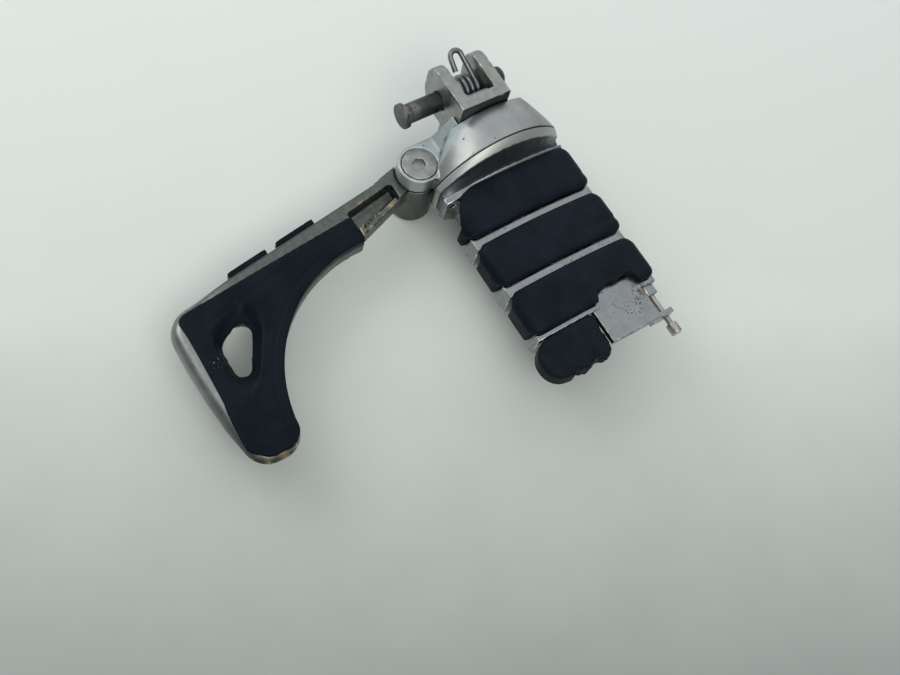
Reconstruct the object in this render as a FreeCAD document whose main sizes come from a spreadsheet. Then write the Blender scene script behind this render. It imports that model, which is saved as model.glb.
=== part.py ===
"""Folding motorcycle footpeg with a swing-out heel rest.

Millimetres, +Z up. The origin is on the clevis pin's axis, midway between the clevis ears.
+X runs outward along the peg, +Y across it, and the heel rest swings on the -Y side.
"""
import FreeCAD, Part
import Sketcher
import os
from FreeCAD import Placement, Rotation, Vector

doc = FreeCAD.newDocument("footpeg")
dims = doc.addObject("Spreadsheet::Sheet", "dims")

# Driving dimensions: name, value, meaning
SIZES = [
    ("over", 1.0, "how far a cut or a join runs past a face"),
    ("pin_radius", 4.0, "clevis pin"),
    ("pin_head_radius", 5.2, "flange that stops the pin"),
    ("pin_head_thickness", 2.0, "flange thickness"),
    ("pin_head_reach", 29.2, "mid gap to the flange's outer face"),
    ("pin_tail_reach", 19.2, "mid gap to the pin's other end"),
    ("pin_chamfer", 0.8, "lead-in at the tail"),
    ("pin_fit", 0.05, "radial running fit of pin and ears"),
    ("clip_thickness", 1.0, "retaining clip plate"),
    ("clip_radius", 6.0, "clip outside"),
    ("clip_groove_depth", 1.0, "groove in the pin"),
    ("clip_gap", 0.15, "clip to ear, and clip in groove"),
    ("clip_mouth", 4.6, "open side of the clip"),
    ("ear_thickness", 4.9, "each clevis ear"),
    ("ear_gap", 12.7, "slot between the ears"),
    ("ear_back", 10.3, "pin axis to the back of the ears"),
    ("ear_top", 12.6, "pin axis to the top of the clevis"),
    ("ear_corner", 6.5, "rounding of the upper back corner"),
    ("slot_floor", 10.0, "pin axis to the slot's floor"),
    ("base_thickness", 4.9, "clevis base plate"),
    ("base_drop", 24.0, "pin axis to the base's lower edge"),
    ("lug_start", 4.0, "back of the lower lug"),
    ("adapter_drop", 16.6, "pin axis to the adapter stud's axis"),
    ("spigot_radius", 5.6, "locating spigot on the clevis base"),
    ("spigot_length", 12.5, "spigot into the bracket"),
    ("spigot_fit", 0.06, "radial fit of the spigot"),
    ("stud_radius", 4.0, "adapter stud"),
    ("stud_fit", 0.3, "clearance round the stud in the bracket"),
    ("thread_fit", 0.03, "radial gap left for the thread"),
    ("stud_engagement", 11.0, "stud inside the spigot"),
    ("stud_grip", 16.0, "stud inside the peg"),
    ("stud_chamfer", 0.8, "lead-in at the stud's ends"),
    ("stud_end_gap", 1.0, "blind hole past the stud"),
    ("dowel_radius", 2.0, "dowel that keeps the peg from turning"),
    ("dowel_reach", 6.0, "dowel into each piece"),
    ("dowel_side", 13.0, "stud to the dowel"),
    ("bracket_length", 15.3, "clevis base to the peg's shoulder"),
    ("hub_left", 15.5, "hub's left side at the clevis"),
    ("hub_left_top", 3.4, "upper edge of that side"),
    ("hub_crown", 5.0, "mid gap to the hub's highest line at the clevis"),
    ("hub_top", 7.8, "top of the hub at the clevis"),
    ("hub_right", 17.5, "hub's right side at the clevis"),
    ("hub_right_top", 5.2, "upper edge of that side"),
    ("hub_side_bottom", -18.0, "where the hub's side ends"),
    ("hub_floor", -25.0, "underside of the hub"),
    ("hub_floor_half", 12.5, "half width of the underside"),
    ("dome_left", 24.0, "dome's left side, midway to the peg"),
    ("dome_left_top", -5.5, "upper edge of that side"),
    ("dome_crown", 4.0, "mid gap to the dome's highest line"),
    ("dome_top", 8.4, "top of the dome"),
    ("dome_right", 23.5, "dome's right side"),
    ("dome_right_top", 0.5, "upper edge of that side"),
    ("pivot_out", 18.9, "pin axis to the heel pivot, outward"),
    ("pivot_side", 30.8, "mid gap to the heel pivot, sideways"),
    ("pivot_top", -5.9, "top of the pivot boss"),
    ("pivot_boss_radius", 8.7, "bracket boss"),
    ("pivot_boss_height", 7.5, "bracket boss"),
    ("arm_flat", 10.5, "flat of the bracket arm behind the boss"),
    ("arm_shoulder_gap", 0.5, "bracket shoulder to the clevis side"),
    ("arm_shoulder_top", 3.6, "arm where it leaves the hub"),
    ("screw_radius", 4.0, "pivot screw shank"),
    ("screw_head_radius", 7.0, "flat disc head"),
    ("screw_head_height", 2.6, "flat disc head"),
    ("screw_head_fit", 0.3, "ring gap round the head"),
    ("screw_socket", 5.0, "hex key size across flats"),
    ("screw_socket_depth", 2.0, "hex socket"),
    ("screw_fit", 0.1, "radial clearance in the bracket"),
    ("pivot_washer_thickness", 0.7, "washer between bracket and arm"),
    ("pivot_washer_radius", 8.0, "washer outside"),
    ("pivot_play", 0.05, "axial play at each side of the arm"),
    ("arm_boss_radius", 9.0, "heel rest boss"),
    ("arm_boss_height", 21.5, "heel rest boss"),
    ("swing_gap", 1.0, "room round the arm boss"),
    ("bush_wall", 1.5, "bronze bush"),
    ("bush_press", 0.01, "gap left between bush and boss"),
    ("bush_fit", 0.04, "radial running fit of the bush"),
    ("nut_recess_depth", 8.0, "recess under the arm boss"),
    ("nut_recess_radius", 7.8, "recess under the arm boss"),
    ("friction_washer_thickness", 0.8, "washer over the nut"),
    ("friction_washer_radius", 7.3, "washer outside"),
    ("nut_height", 6.5, "lock nut"),
    ("nut_corner_radius", 7.2, "lock nut across corners, halved"),
    ("peg_middle", -1.3, "peg's middle from the clevis middle"),
    ("peg_half_width", 28.5, "ribs"),
    ("peg_edge", -8.1, "upper side edge of the peg"),
    ("peg_crown", 2.0, "rise of the ribs in the middle"),
    ("peg_side_bottom", -20.0, "where the side turns under"),
    ("peg_floor", -26.5, "underside of the peg"),
    ("peg_floor_half", 19.0, "half width of the underside"),
    ("shoulder_top", 8.0, "top of the shoulder bead"),
    ("shoulder_shift", 4.3, "peg's middle to the shoulder's highest line"),
    ("shoulder_right", -2.5, "right upper edge of the shoulder"),
    ("bead_width", 3.0, "shoulder bead"),
    ("bead_drop", 2.6, "fall of the bead across its width"),
    ("cove_width", 2.8, "hollow after the bead"),
    ("cove_depth", 1.0, "hollow after the bead"),
    ("land_width", 2.9, "land before the first pad"),
    ("land_rise", 2.2, "extra crown of the land's inner edge"),
    ("land_right", 1.6, "land's right edge above the peg's"),
    ("pad_width", 17.2, "tread pad"),
    ("rib_width", 5.7, "rib between two pads"),
    ("last_rib_width", 3.0, "rib after the last pad"),
    ("core_depth", 1.6, "pad seat below the ribs, on top"),
    ("core_side", 5.3, "pad seat inside the ribs, at the sides"),
    ("pad_height", 3.2, "pad above the ribs"),
    ("pad_proud", 1.7, "pad outside the ribs at the sides"),
    ("pad_skirt", 7.2, "skirt of the pad below the edge"),
    ("pad_fit", 0.05, "pads on their seats"),
    ("pad_corner", 3.2, "rounding of the pad's long edges"),
    ("first_pad_corner", 12.5, "rounded inner corner of the first pad"),
    ("tear_width", 4.2, "strip torn from the outer pad"),
    ("tear_start", 0.2, "peg middle to the tear's start"),
    ("tear_length", 20.8, "length of the tear"),
    ("rod_radius", 1.2, "pad retaining rod"),
    ("rod_inset", 1.8, "pad seat's side to the rod"),
    ("rod_drop", 4.0, "rod below the peg's edge"),
    ("rod_fit", 0.05, "rod in its holes"),
    ("rod_head_radius", 2.3, "rod head"),
    ("rod_head_length", 4.6, "rod head"),
    ("rod_reach", 17.3, "last rib to the right head's inner face"),
    ("rod_reach_left", 10.0, "last rib to the left head's inner face"),
    ("tongue_length", 14.2, "bare plate at the outer end"),
    ("tongue_thickness", 2.8, "bare plate"),
    ("tongue_side", 20.6, "peg middle to the plate's outer side"),
    ("tongue_inner", 3.2, "plate past the middle"),
    ("tongue_drop", 0.5, "plate below the rib's crown"),
    ("lug_length", 4.0, "rod lug on the last rib"),
    ("keeper_length", 2.2, "rod keeper at the plate's end"),
    ("lobe_reach", 18.4, "end pad past the last rib"),
    ("lobe_side", 33.6, "peg middle to the end pad's outside"),
    ("lobe_inner", 5.0, "peg middle to the end pad's torn edge"),
    ("lobe_top", 3.4, "end pad above the peg's edge"),
    ("lobe_depth", 9.6, "end pad thickness"),
    ("lobe_corner", 8.5, "rounded corners of the end pad"),
    ("rest_top", -12.0, "rim of the heel rest"),
    ("rest_thickness", 10.0, "heel rest casting"),
    ("rest_reach", 116.5, "pivot to the foot's outer edge"),
    ("rest_corner_out", 12.9, "pivot to the outer corner, outward"),
    ("rest_corner", 11.0, "rounding of the outer corner"),
    ("foot_reach", 78.6, "pivot to the foot's tip, outward"),
    ("foot_rise", 4.0, "rise of the foot's outer edge to its tip"),
    ("foot_radius", 270.0, "bulge of the foot's outer edge"),
    ("tip_width", 19.6, "foot's tip"),
    ("tip_corner", 9.0, "rounding of the tip"),
    ("tip_straight", 9.8, "straight of the tip's inner side"),
    ("inner_radius", 58.6, "hollow inner edge"),
    ("neck_end_out", 17.1, "pivot to the neck's inner corner, outward"),
    ("neck_end", 33.9, "pivot to the neck's inner corner, sideways"),
    ("neck_step", 2.6, "step where the neck meets the plate"),
    ("neck_outer", 3.0, "pivot to the neck's outer edge"),
    ("neck_start", 19.0, "pivot to where the neck straightens"),
    ("rim_side", 3.2, "metal rim beside the inlay"),
    ("rim_foot", 5.2, "metal rim along the foot"),
    ("rim_tip", 1.3, "metal rim at the tip"),
    ("inlay_lap", 0.3, "inlay past the hollow edge"),
    ("inlay_neck_width", 10.4, "inlay where the neck starts"),
    ("inlay_seat", 4.0, "depth of the inlay's seat"),
    ("inlay_proud", 0.5, "inlay above the rim"),
    ("inlay_fit", 0.05, "inlay in its seat"),
    ("inlay_corner", 3.4, "inlay's outer corner"),
    ("inlay_tip_corner", 7.4, "inlay's tip"),
    ("channel_depth", 6.0, "hollow of the neck"),
    ("channel_rail", 4.6, "outer rail of the neck"),
    ("channel_lip", 2.6, "inner rail of the neck"),
    ("channel_lip_drop", 2.6, "inner rail below the outer one"),
    ("channel_start", 12.5, "pivot to the hollow"),
    ("channel_run", 0.5, "hollow past the inlay's seat"),
    ("window_foot", 13.6, "foot's outer edge to the window"),
    ("window_side", 18.2, "plate's outer corner to the window, outward"),
    ("window_length", 17.5, "window along the plate"),
    ("window_lean", 8.4, "near corner behind the far one"),
    ("window_width", 23.7, "window along the foot"),
    ("window_corner", 3.4, "rounded corners of the window"),
    ("window_lining", 1.2, "inlay's lip inside the metal's window"),
    ("lining_lift", 0.8, "lip above the casting's underside"),
    ("bumper_length", 17.6, "rubber bumper"),
    ("bumper_width", 5.0, "rubber bumper"),
    ("bumper_proud", 3.1, "rubber bumper"),
    ("bumper_start", 47.0, "pivot to the first bumper"),
    ("bumper_pitch", 22.2, "first bumper to the second"),
    ("bumper_corner", 1.4, "rounded ends of a bumper"),
    ("coil_radius", 5.7, "return spring, middle of the wire"),
    ("wire_radius", 1.1, "return spring wire"),
    ("coil_turns", 3.95, "return spring"),
    ("coil_pitch", 2.45, "return spring"),
    ("coil_angle", 110.0, "where the tail leaves the coil, from straight outward"),
    ("spring_tail", 9.6, "straight tail across the slot"),
    ("tail_height", 8.6, "pin axis to the tail, upward"),
    ("tail_gap", 0.5, "tail to the slot's floor"),
    ("hook_rise", 10.5, "hooked end above the coil"),
    ("hook_width", 5.0, "hooked end"),
    ("hook_shift", 1.8, "hooked end inside the coil's end"),
    ("hook_return", 5.5, "hooked end's short leg"),
]
for row, (alias, value, meaning) in enumerate(SIZES, start=1):
    dims.set(f"A{row}", meaning)
    dims.set(f"B{row}", str(value))
    dims.setAlias(f"B{row}", alias)
doc.recompute()


def size(name):
    """A driving dimension as a plain number."""
    return float(dims.get(name))


def number(expression):
    """The value of an expression over the driving dimensions."""
    return float(dims.evalExpression(expression))


def words(text):
    """An expression in which every driving dimension is named by its sheet."""
    for alias, _, _ in sorted(SIZES, key=lambda entry: -len(entry[0])):
        pieces = text.split(alias)
        joined = pieces[0]
        for before, after in zip(pieces, pieces[1:]):
            inside = before[-1:].isalpha() or before[-1:] in ("_", ".")
            inside = inside or after[:1].isalpha() or after[:1] == "_"
            joined += (alias if inside else "dims." + alias) + after
        text = joined
    return text


def bind(thing, prop, text):
    thing.setExpression(prop, words(text))


# Places that several pieces share
CLEVIS_SIDE = "(ear_gap / 2 + ear_thickness)"
CLEVIS_FRONT = "(slot_floor + base_thickness)"
SEAM = f"({CLEVIS_FRONT} + bracket_length)"
COVE_START = f"({SEAM} + bead_width)"
LAND_START = f"({COVE_START} + cove_width)"
PADS_START = f"({LAND_START} + land_width)"
PAD_PITCH = "(pad_width + rib_width)"
PEG_END = f"({PADS_START} + 3 * pad_width + 2 * rib_width + last_rib_width)"
PIVOT_X = "pivot_out"
PIVOT_Y = "(-pivot_side)"
BOSS_FLOOR = "(pivot_top - pivot_boss_height)"
ARM_TOP = f"({BOSS_FLOOR} - pivot_washer_thickness - 2 * pivot_play)"
ARM_FLOOR = f"({ARM_TOP} - arm_boss_height)"
REST_FLOOR = "(rest_top - rest_thickness)"
ROD_Z = "(peg_edge - rod_drop)"
RIB_TOP = "(peg_edge + peg_crown)"


# Two places nearer than this are the same
NEAR = 1e-3


# Small builders
def box(name, x, y, z):
    """A block between two places on each axis."""
    solid = doc.addObject("Part::Box", name)
    for side, axis, (low, high) in (("Length", "x", x), ("Width", "y", y), ("Height", "z", z)):
        bind(solid, side, f"({high}) - ({low})")
        bind(solid, f"Placement.Base.{axis}", low)
    return solid


def cylinder(name, axis, radius, low, high, centre):
    """A cylinder along one axis; centre gives its place on the other two axes in order."""
    solid = doc.addObject("Part::Cylinder", name)
    direction = {"x": Vector(1, 0, 0), "y": Vector(0, 1, 0), "z": Vector(0, 0, 1)}[axis]
    solid.Placement = Placement(Vector(0, 0, 0), Rotation(Vector(0, 0, 1), direction))
    bind(solid, "Radius", radius)
    bind(solid, "Height", f"({high}) - ({low})")
    others = [other for other in "xyz" if other != axis]
    bind(solid, f"Placement.Base.{axis}", low)
    for other, place in zip(others, centre):
        bind(solid, f"Placement.Base.{other}", place)
    return solid


def hexagon(name, flats, low, high, centre, axis="z"):
    """A hexagonal prism, given across flats."""
    solid = doc.addObject("Part::Prism", name)
    solid.Polygon = 6
    direction = {"x": Vector(1, 0, 0), "z": Vector(0, 0, 1)}[axis]
    solid.Placement = Placement(Vector(0, 0, 0), Rotation(Vector(0, 0, 1), direction))
    bind(solid, "Circumradius", f"({flats}) / sqrt(3)")
    bind(solid, "Height", f"({high}) - ({low})")
    others = [other for other in "xyz" if other != axis]
    bind(solid, f"Placement.Base.{axis}", low)
    for other, place in zip(others, centre):
        bind(solid, f"Placement.Base.{other}", place)
    return solid


def fuse(name, pieces):
    joined = doc.addObject("Part::MultiFuse", name)
    joined.Shapes = pieces
    joined.Refine = True
    return joined


def cut(name, base, tools):
    """One piece less several others."""
    result = doc.addObject("Part::Cut", name)
    result.Base = base
    result.Tool = tools[0] if len(tools) == 1 else fuse(name + "_tools", tools)
    result.Refine = True
    return result


def made(name, shape):
    """A shape worked out in code, as an object of the document."""
    thing = doc.addObject("Part::Feature", name)
    thing.Shape = shape
    thing.Placement = Placement()
    return thing


def sketch(body, name, plane, height, corners, arcs=None):
    """A closed outline: each corner is bound to the sheet, and arcs maps a side to its radius.

    A side runs from its corner to the next one. A negative radius bends the side to the other hand.
    """
    arcs = arcs or {}
    drawing = body.newObject("Sketcher::SketchObject", name)
    planes = [part for part in body.Origin.OriginFeatures if part.Role == plane]
    drawing.AttachmentSupport = [(planes[0], "")]
    drawing.MapMode = "FlatFace"
    bind(drawing, "AttachmentOffset.Base.z", height)
    places = [Vector(number(words(u)), number(words(v)), 0) for u, v in corners]
    count = len(places)
    for index, start in enumerate(places):
        end = places[(index + 1) % count]
        if index in arcs:
            radius = number(words(arcs[index].lstrip("-")))
            side = -1 if arcs[index].startswith("-") else 1
            chord = end - start
            across = Vector(-chord.y, chord.x, 0).normalize() * side
            reach = (radius ** 2 - (chord.Length / 2) ** 2) ** 0.5
            middle = start + chord * 0.5 + across * (reach - radius)
            drawing.addGeometry(Part.Arc(start, middle, end), False)
        else:
            drawing.addGeometry(Part.LineSegment(start, end), False)
    ends = []
    for index in range(count):
        start = places[index]
        first = drawing.getPoint(index, 1)
        ends.append((1, 2) if (first - start).Length < NEAR else (2, 1))
    for index in range(count):
        following = (index + 1) % count
        joint = Sketcher.Constraint("Coincident", index, ends[index][1], following, ends[following][0])
        drawing.addConstraint(joint)
    for index, (u, v) in enumerate(corners):
        for kind, text, value in (("DistanceX", u, places[index].x), ("DistanceY", v, places[index].y)):
            place = drawing.addConstraint(Sketcher.Constraint(kind, -1, 1, index, ends[index][0], value))
            drawing.renameConstraint(place, f"{kind}_{index}")
            bind(drawing, f"Constraints.{kind}_{index}", text)
        if index in arcs:
            text = arcs[index].lstrip("-")
            place = drawing.addConstraint(Sketcher.Constraint("Radius", index, number(words(text))))
            drawing.renameConstraint(place, f"Radius_{index}")
            bind(drawing, f"Constraints.Radius_{index}", text)
    return drawing


def pad(body, name, drawing, length):
    feature = body.newObject("PartDesign::Pad", name)
    feature.Profile = drawing
    bind(feature, "Length", length)
    doc.recompute()
    return feature


def pocket(body, name, drawing, depth):
    feature = body.newObject("PartDesign::Pocket", name)
    feature.Profile = drawing
    bind(feature, "Length", depth)
    doc.recompute()
    return feature


def turned(name, corners, axis="V_Axis", plane="XY_Plane"):
    """A turned piece: a half outline swung once round a sketch axis."""
    body = doc.addObject("PartDesign::Body", name)
    drawing = sketch(body, name + "_profile", plane, "0", corners)
    feature = body.newObject("PartDesign::Revolution", name + "_turning")
    feature.Profile = drawing
    feature.ReferenceAxis = (drawing, [axis])
    feature.Angle = 360
    doc.recompute()
    return body


def rounded(body, name, base, radius, chosen):
    """A fillet on the edges of a feature that a test picks."""
    edges = [f"Edge{index}" for index, edge in enumerate(base.Shape.Edges, start=1) if chosen(edge)]
    feature = body.newObject("PartDesign::Fillet", name)
    feature.Base = (base, edges)
    bind(feature, "Radius", radius)
    doc.recompute()
    return feature


def upright_at(places):
    """Picks upright edges that stand at any of some places in plan."""
    spots = [Vector(number(words(u)), number(words(v)), 0) for u, v in places]

    def chosen(edge):
        first = edge.Vertexes[0].Point
        last = edge.Vertexes[-1].Point
        plan = Vector(first.x, first.y, 0)
        upright = (Vector(last.x, last.y, 0) - plan).Length < NEAR < abs(first.z - last.z)
        return upright and any((plan - spot).Length < NEAR for spot in spots)
    return chosen


def section(x, left, crown, right, underside):
    """A closed outline across the peg: a crowned top through three places, then the underside's corners."""
    top = [Vector(x, *place) for place in (left, crown, right)]
    path = [top[2]] + [Vector(x, *place) for place in underside] + [top[0]]
    sides = [Part.LineSegment(a, b).toShape() for a, b in zip(path, path[1:])]
    return Part.Wire([Part.Arc(*top).toShape()] + sides)


# Clevis pin: turned, with a stop flange at one end and a clip groove near the other
CLIP_START = f"({CLEVIS_SIDE} + clip_gap)"
CLIP_END = f"({CLIP_START} + clip_thickness)"
PIN_PROFILE = [
    ("0", "-pin_head_reach"),
    ("pin_head_radius", "-pin_head_reach"),
    ("pin_head_radius", "-pin_head_reach + pin_head_thickness"),
    ("pin_radius", "-pin_head_reach + pin_head_thickness"),
    ("pin_radius", f"{CLIP_START} - clip_gap / 2"),
    ("pin_radius - clip_groove_depth", f"{CLIP_START} - clip_gap / 2"),
    ("pin_radius - clip_groove_depth", f"{CLIP_END} + clip_gap / 2"),
    ("pin_radius", f"{CLIP_END} + clip_gap / 2"),
    ("pin_radius", "pin_tail_reach - pin_chamfer"),
    ("pin_radius - pin_chamfer", "pin_tail_reach"),
    ("0", "pin_tail_reach"),
]
clevis_pin = turned("clevis_pin", PIN_PROFILE)

# Retaining clip: an open spring-steel plate in the pin's groove
pin_clip = cut("pin_clip", cylinder("clip_disc", "y", "clip_radius", CLIP_START, CLIP_END, ("0", "0")), [
    cylinder("clip_eye", "y", "pin_radius - clip_groove_depth + clip_gap", f"{CLIP_START} - over",
             f"{CLIP_END} + over", ("0", "0")),
    box("clip_opening", ("-clip_radius - over", "0"), (f"{CLIP_START} - over", f"{CLIP_END} + over"),
        ("-clip_mouth / 2", "clip_mouth / 2")),
])

# Clevis: side profile drawn round the pin, then slotted and bored
clevis_body = doc.addObject("PartDesign::Body", "clevis_body")
clevis_side = sketch(clevis_body, "clevis_side", "XZ_Plane", f"-{CLEVIS_SIDE}", [
    (CLEVIS_FRONT, "ear_top"),
    ("-ear_back + ear_corner", "ear_top"),
    ("-ear_back", "ear_top - ear_corner"),
    ("-ear_back", "0"),
    ("0", "-ear_back"),
    ("lug_start", "-ear_back"),
    ("lug_start", "-base_drop + base_thickness"),
    ("slot_floor", "-base_drop"),
    (CLEVIS_FRONT, "-base_drop"),
], {1: "ear_corner", 3: "ear_back"})
clevis_block = pad(clevis_body, "clevis_block", clevis_side, f"2 * {CLEVIS_SIDE}")
slot_plan = sketch(clevis_body, "slot_plan", "XY_Plane", "ear_top + over", [
    ("slot_floor", "ear_gap / 2"),
    ("-ear_back - over", "ear_gap / 2"),
    ("-ear_back - over", "-ear_gap / 2"),
    ("slot_floor", "-ear_gap / 2"),
])
clevis_slot = pocket(clevis_body, "clevis_slot", slot_plan, "ear_top + base_drop + 2")
rounded(
    clevis_body, "clevis_slot_corners", clevis_slot, "wire_radius",
    upright_at([("slot_floor", "ear_gap / 2"), ("slot_floor", "-ear_gap / 2")]))
spigot_place = ("0", "-adapter_drop")
DOWEL_PLACE = ("dowel_side", "-adapter_drop")
clevis_solid = fuse("clevis_solid", [
    clevis_body,
    cylinder("spigot", "x", "spigot_radius", f"{CLEVIS_FRONT} - over", f"{CLEVIS_FRONT} + spigot_length",
             spigot_place),
])
clevis_mount = cut("clevis_mount", clevis_solid, [
    cylinder("ear_bores", "y", "pin_radius + pin_fit", f"-{CLEVIS_SIDE} - over", f"{CLEVIS_SIDE} + over",
             ("0", "0")),
    cylinder("spigot_thread", "x", "stud_radius + thread_fit", "slot_floor - over",
             f"{CLEVIS_FRONT} + spigot_length + over", spigot_place),
])

# Return spring: a coil round the pin, a tail along the slot's floor and a hooked end,
# drawn for the other side and then mirrored
coil_length = size("coil_turns") * size("coil_pitch")
wire = size("wire_radius")
coil = Part.makeHelix(size("coil_pitch"), coil_length, size("coil_radius"))
ring = Part.Wire(Part.makeCircle(wire, Vector(size("coil_radius"), 0, 0), Vector(0, 1, 0)))
turns = Part.Wire(coil.Edges).makePipeShell([ring], True, True)
turns.rotate(Vector(0, 0, 0), Vector(1, 0, 0), 90)
turns.translate(Vector(0, coil_length / 2, 0))
turns.rotate(Vector(0, 0, 0), Vector(0, 1, 0), -size("coil_angle"))


def on_coil(angle, side):
    """A place on the middle of the coil's wire."""
    place = Rotation(Vector(0, 1, 0), -angle).multVec(Vector(size("coil_radius"), 0, 0))
    place.y = side
    return place


coil_start = on_coil(size("coil_angle"), coil_length / 2)
coil_end = on_coil(size("coil_angle") + size("coil_turns") * 360.0, -coil_length / 2)
tail_start = Vector(size("slot_floor") - size("tail_gap") - wire, coil_start.y, size("tail_height"))
tail_end = tail_start - Vector(0, size("spring_tail"), 0)


# A ball of exactly the wire's radius would meet the runs along a seam
BALL_SHARE = 1.03


def wire_run(points):
    """Round wire along straight runs, with a ball at every bend."""
    runs = [Part.makeCylinder(wire, (b - a).Length, a, b - a) for a, b in zip(points, points[1:])]
    balls = [Part.makeSphere(wire * BALL_SHARE, point) for point in points]
    return runs + balls


HOOK_SEGMENTS = 6
HOOK_SLOPE = 32.0
hook_lean = Rotation(Vector(0, 1, 0), HOOK_SLOPE).multVec(Vector(-1, 0, 0))
hook_top = coil_end + hook_lean * size("hook_rise") + Vector(0, size("hook_shift"), 0)
hook_bend = []
for step in range(HOOK_SEGMENTS + 1):
    share = step / HOOK_SEGMENTS
    swing = Rotation(hook_lean.cross(Vector(0, 1, 0)), 180.0 * share)
    hook_bend.append(hook_top + Vector(0, size("hook_width") / 2, 0)
                     + swing.multVec(Vector(0, -size("hook_width") / 2, 0)))
hook_end = hook_bend[-1] - hook_lean * size("hook_return")
spring_pieces = wire_run([coil_start, tail_start, tail_end]) + wire_run([coil_end] + hook_bend + [hook_end])
spring = turns.fuse(spring_pieces).removeSplitter()
return_spring = made("return_spring", spring.mirror(Vector(0, 0, 0), Vector(0, 1, 0)))

# Adapter stud and dowel, inside the clevis, the bracket and the peg
STUD_START = f"({CLEVIS_FRONT} + spigot_length - stud_engagement)"
STUD_END = f"({SEAM} + stud_grip)"
DOWEL_START = f"({SEAM} - dowel_reach)"
DOWEL_END = f"({SEAM} + dowel_reach)"
adapter_stud = turned("adapter_stud", [
    (STUD_START, "0"),
    (STUD_START, "stud_radius - stud_chamfer"),
    (f"{STUD_START} + stud_chamfer", "stud_radius"),
    (f"{STUD_END} - stud_chamfer", "stud_radius"),
    (STUD_END, "stud_radius - stud_chamfer"),
    (STUD_END, "0"),
], "H_Axis")
bind(adapter_stud, "Placement.Base.z", "-adapter_drop")
adapter_dowel = cylinder("adapter_dowel", "x", "dowel_radius", DOWEL_START, DOWEL_END, DOWEL_PLACE)

# Bracket: a domed hub between clevis and peg, with a ramped arm out to the heel pivot
front = number(words(CLEVIS_FRONT))
seam = number(words(SEAM))
middle = size("peg_middle")
half_way = (front + seam) / 2


def keel(left, right, side_bottom, floor, floor_half):
    """The underside's corners, from right to left."""
    centre = (left + right) / 2
    low = [(centre + floor_half, floor), (centre - floor_half, floor)]
    return [(right, side_bottom)] + low + [(left, side_bottom)]


def across(x, inset=0.0, top=None, right_top=None, shift=0.0):
    """The peg's section at one place, inset at its top and sides; the shoulder has its own crown."""
    crown = number(words(RIB_TOP)) if top is None else top
    edge = size("peg_edge") - min(inset, size("core_depth"))
    half = size("peg_half_width") - inset
    left = middle - half
    right = middle + half
    right_edge = edge if right_top is None else right_top
    return section(x, (left, edge), (middle + shift, crown), (right, right_edge),
                   keel(left, right, size("peg_side_bottom"), size("peg_floor"), size("peg_floor_half")))


hub_start = section(
    front, (-size("hub_left"), size("hub_left_top")), (size("hub_crown"), size("hub_top")),
    (size("hub_right"), size("hub_right_top")),
    keel(-size("hub_left"), size("hub_right"), size("hub_side_bottom"), size("hub_floor"),
         size("hub_floor_half")))
hub_between = section(
    half_way, (-size("dome_left"), size("dome_left_top")), (size("dome_crown"), size("dome_top")),
    (size("dome_right"), size("dome_right_top")),
    keel(-size("dome_left"), size("dome_right"), (size("hub_side_bottom") + size("peg_side_bottom")) / 2,
         (size("hub_floor") + size("peg_floor")) / 2, (size("hub_floor_half") + size("peg_floor_half")) / 2))
shift = size("shoulder_shift")
hub_end = across(seam, 0.0, size("shoulder_top"), size("shoulder_right"), shift)
hub = made("hub", Part.makeLoft([hub_start, hub_between, hub_end], True, False))
PIVOT = (PIVOT_X, PIVOT_Y)
RAMP_END = f"(-{CLEVIS_SIDE} - arm_shoulder_gap)"
RAMP_START = "(-pivot_side + arm_flat)"
ARM_BACK = "(pivot_out - pivot_boss_radius)"
ramp = doc.addObject("PartDesign::Body", "arm_ramp")
ramp_side = sketch(ramp, "ramp_side", "YZ_Plane", ARM_BACK, [
    (PIVOT_Y, "pivot_top"),
    (PIVOT_Y, BOSS_FLOOR),
    (RAMP_END, BOSS_FLOOR),
    (RAMP_END, "arm_shoulder_top"),
    (RAMP_START, "pivot_top"),
])
pad(ramp, "ramp_block", ramp_side, "2 * pivot_boss_radius")
pivot_boss = cylinder("pivot_boss", "z", "pivot_boss_radius", BOSS_FLOOR, "pivot_top", PIVOT)
bracket_solid = fuse("bracket_solid", [hub, ramp, pivot_boss])
heel_rest_bracket = cut("heel_rest_bracket", bracket_solid, [
    cylinder("swing_room", "z", "arm_boss_radius + swing_gap", f"{ARM_FLOOR} - swing_gap", BOSS_FLOOR, PIVOT),
    cylinder("screw_hole", "z", "screw_radius + screw_fit", f"{BOSS_FLOOR} - over", "pivot_top + over",
             PIVOT),
    cylinder("screw_seat", "z", "screw_head_radius + screw_head_fit", "pivot_top - screw_head_height",
             "pivot_top + over", PIVOT),
    cylinder("spigot_bore", "x", "spigot_radius + spigot_fit", f"{CLEVIS_FRONT} - over",
             f"{CLEVIS_FRONT} + spigot_length + spigot_fit", spigot_place),
    cylinder("bracket_stud_hole", "x", "stud_radius + stud_fit", f"{CLEVIS_FRONT} - over", f"{SEAM} + over",
             spigot_place),
    cylinder("bracket_dowel_hole", "x", "dowel_radius + thread_fit", f"{DOWEL_START} - thread_fit",
             f"{SEAM} + over", DOWEL_PLACE),
])

# Peg: shoulder bead, hollow, land, and a core with three ribs
cove = number(words(COVE_START))
land = number(words(LAND_START))
pads = number(words(PADS_START))
end = number(words(PEG_END))
bead_top = size("shoulder_top") - size("bead_drop")
bead_right = size("shoulder_right") - size("bead_drop")
land_top = number(words(RIB_TOP)) + size("land_rise")
land_right = size("peg_edge") + size("land_right")
depth = size("cove_depth")
core_inset = size("core_side")
core_top = number(words(RIB_TOP)) - size("core_depth")


def run(start, finish):
    """A solid between two sections."""
    return Part.makeLoft([start, finish], True, True)


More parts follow.
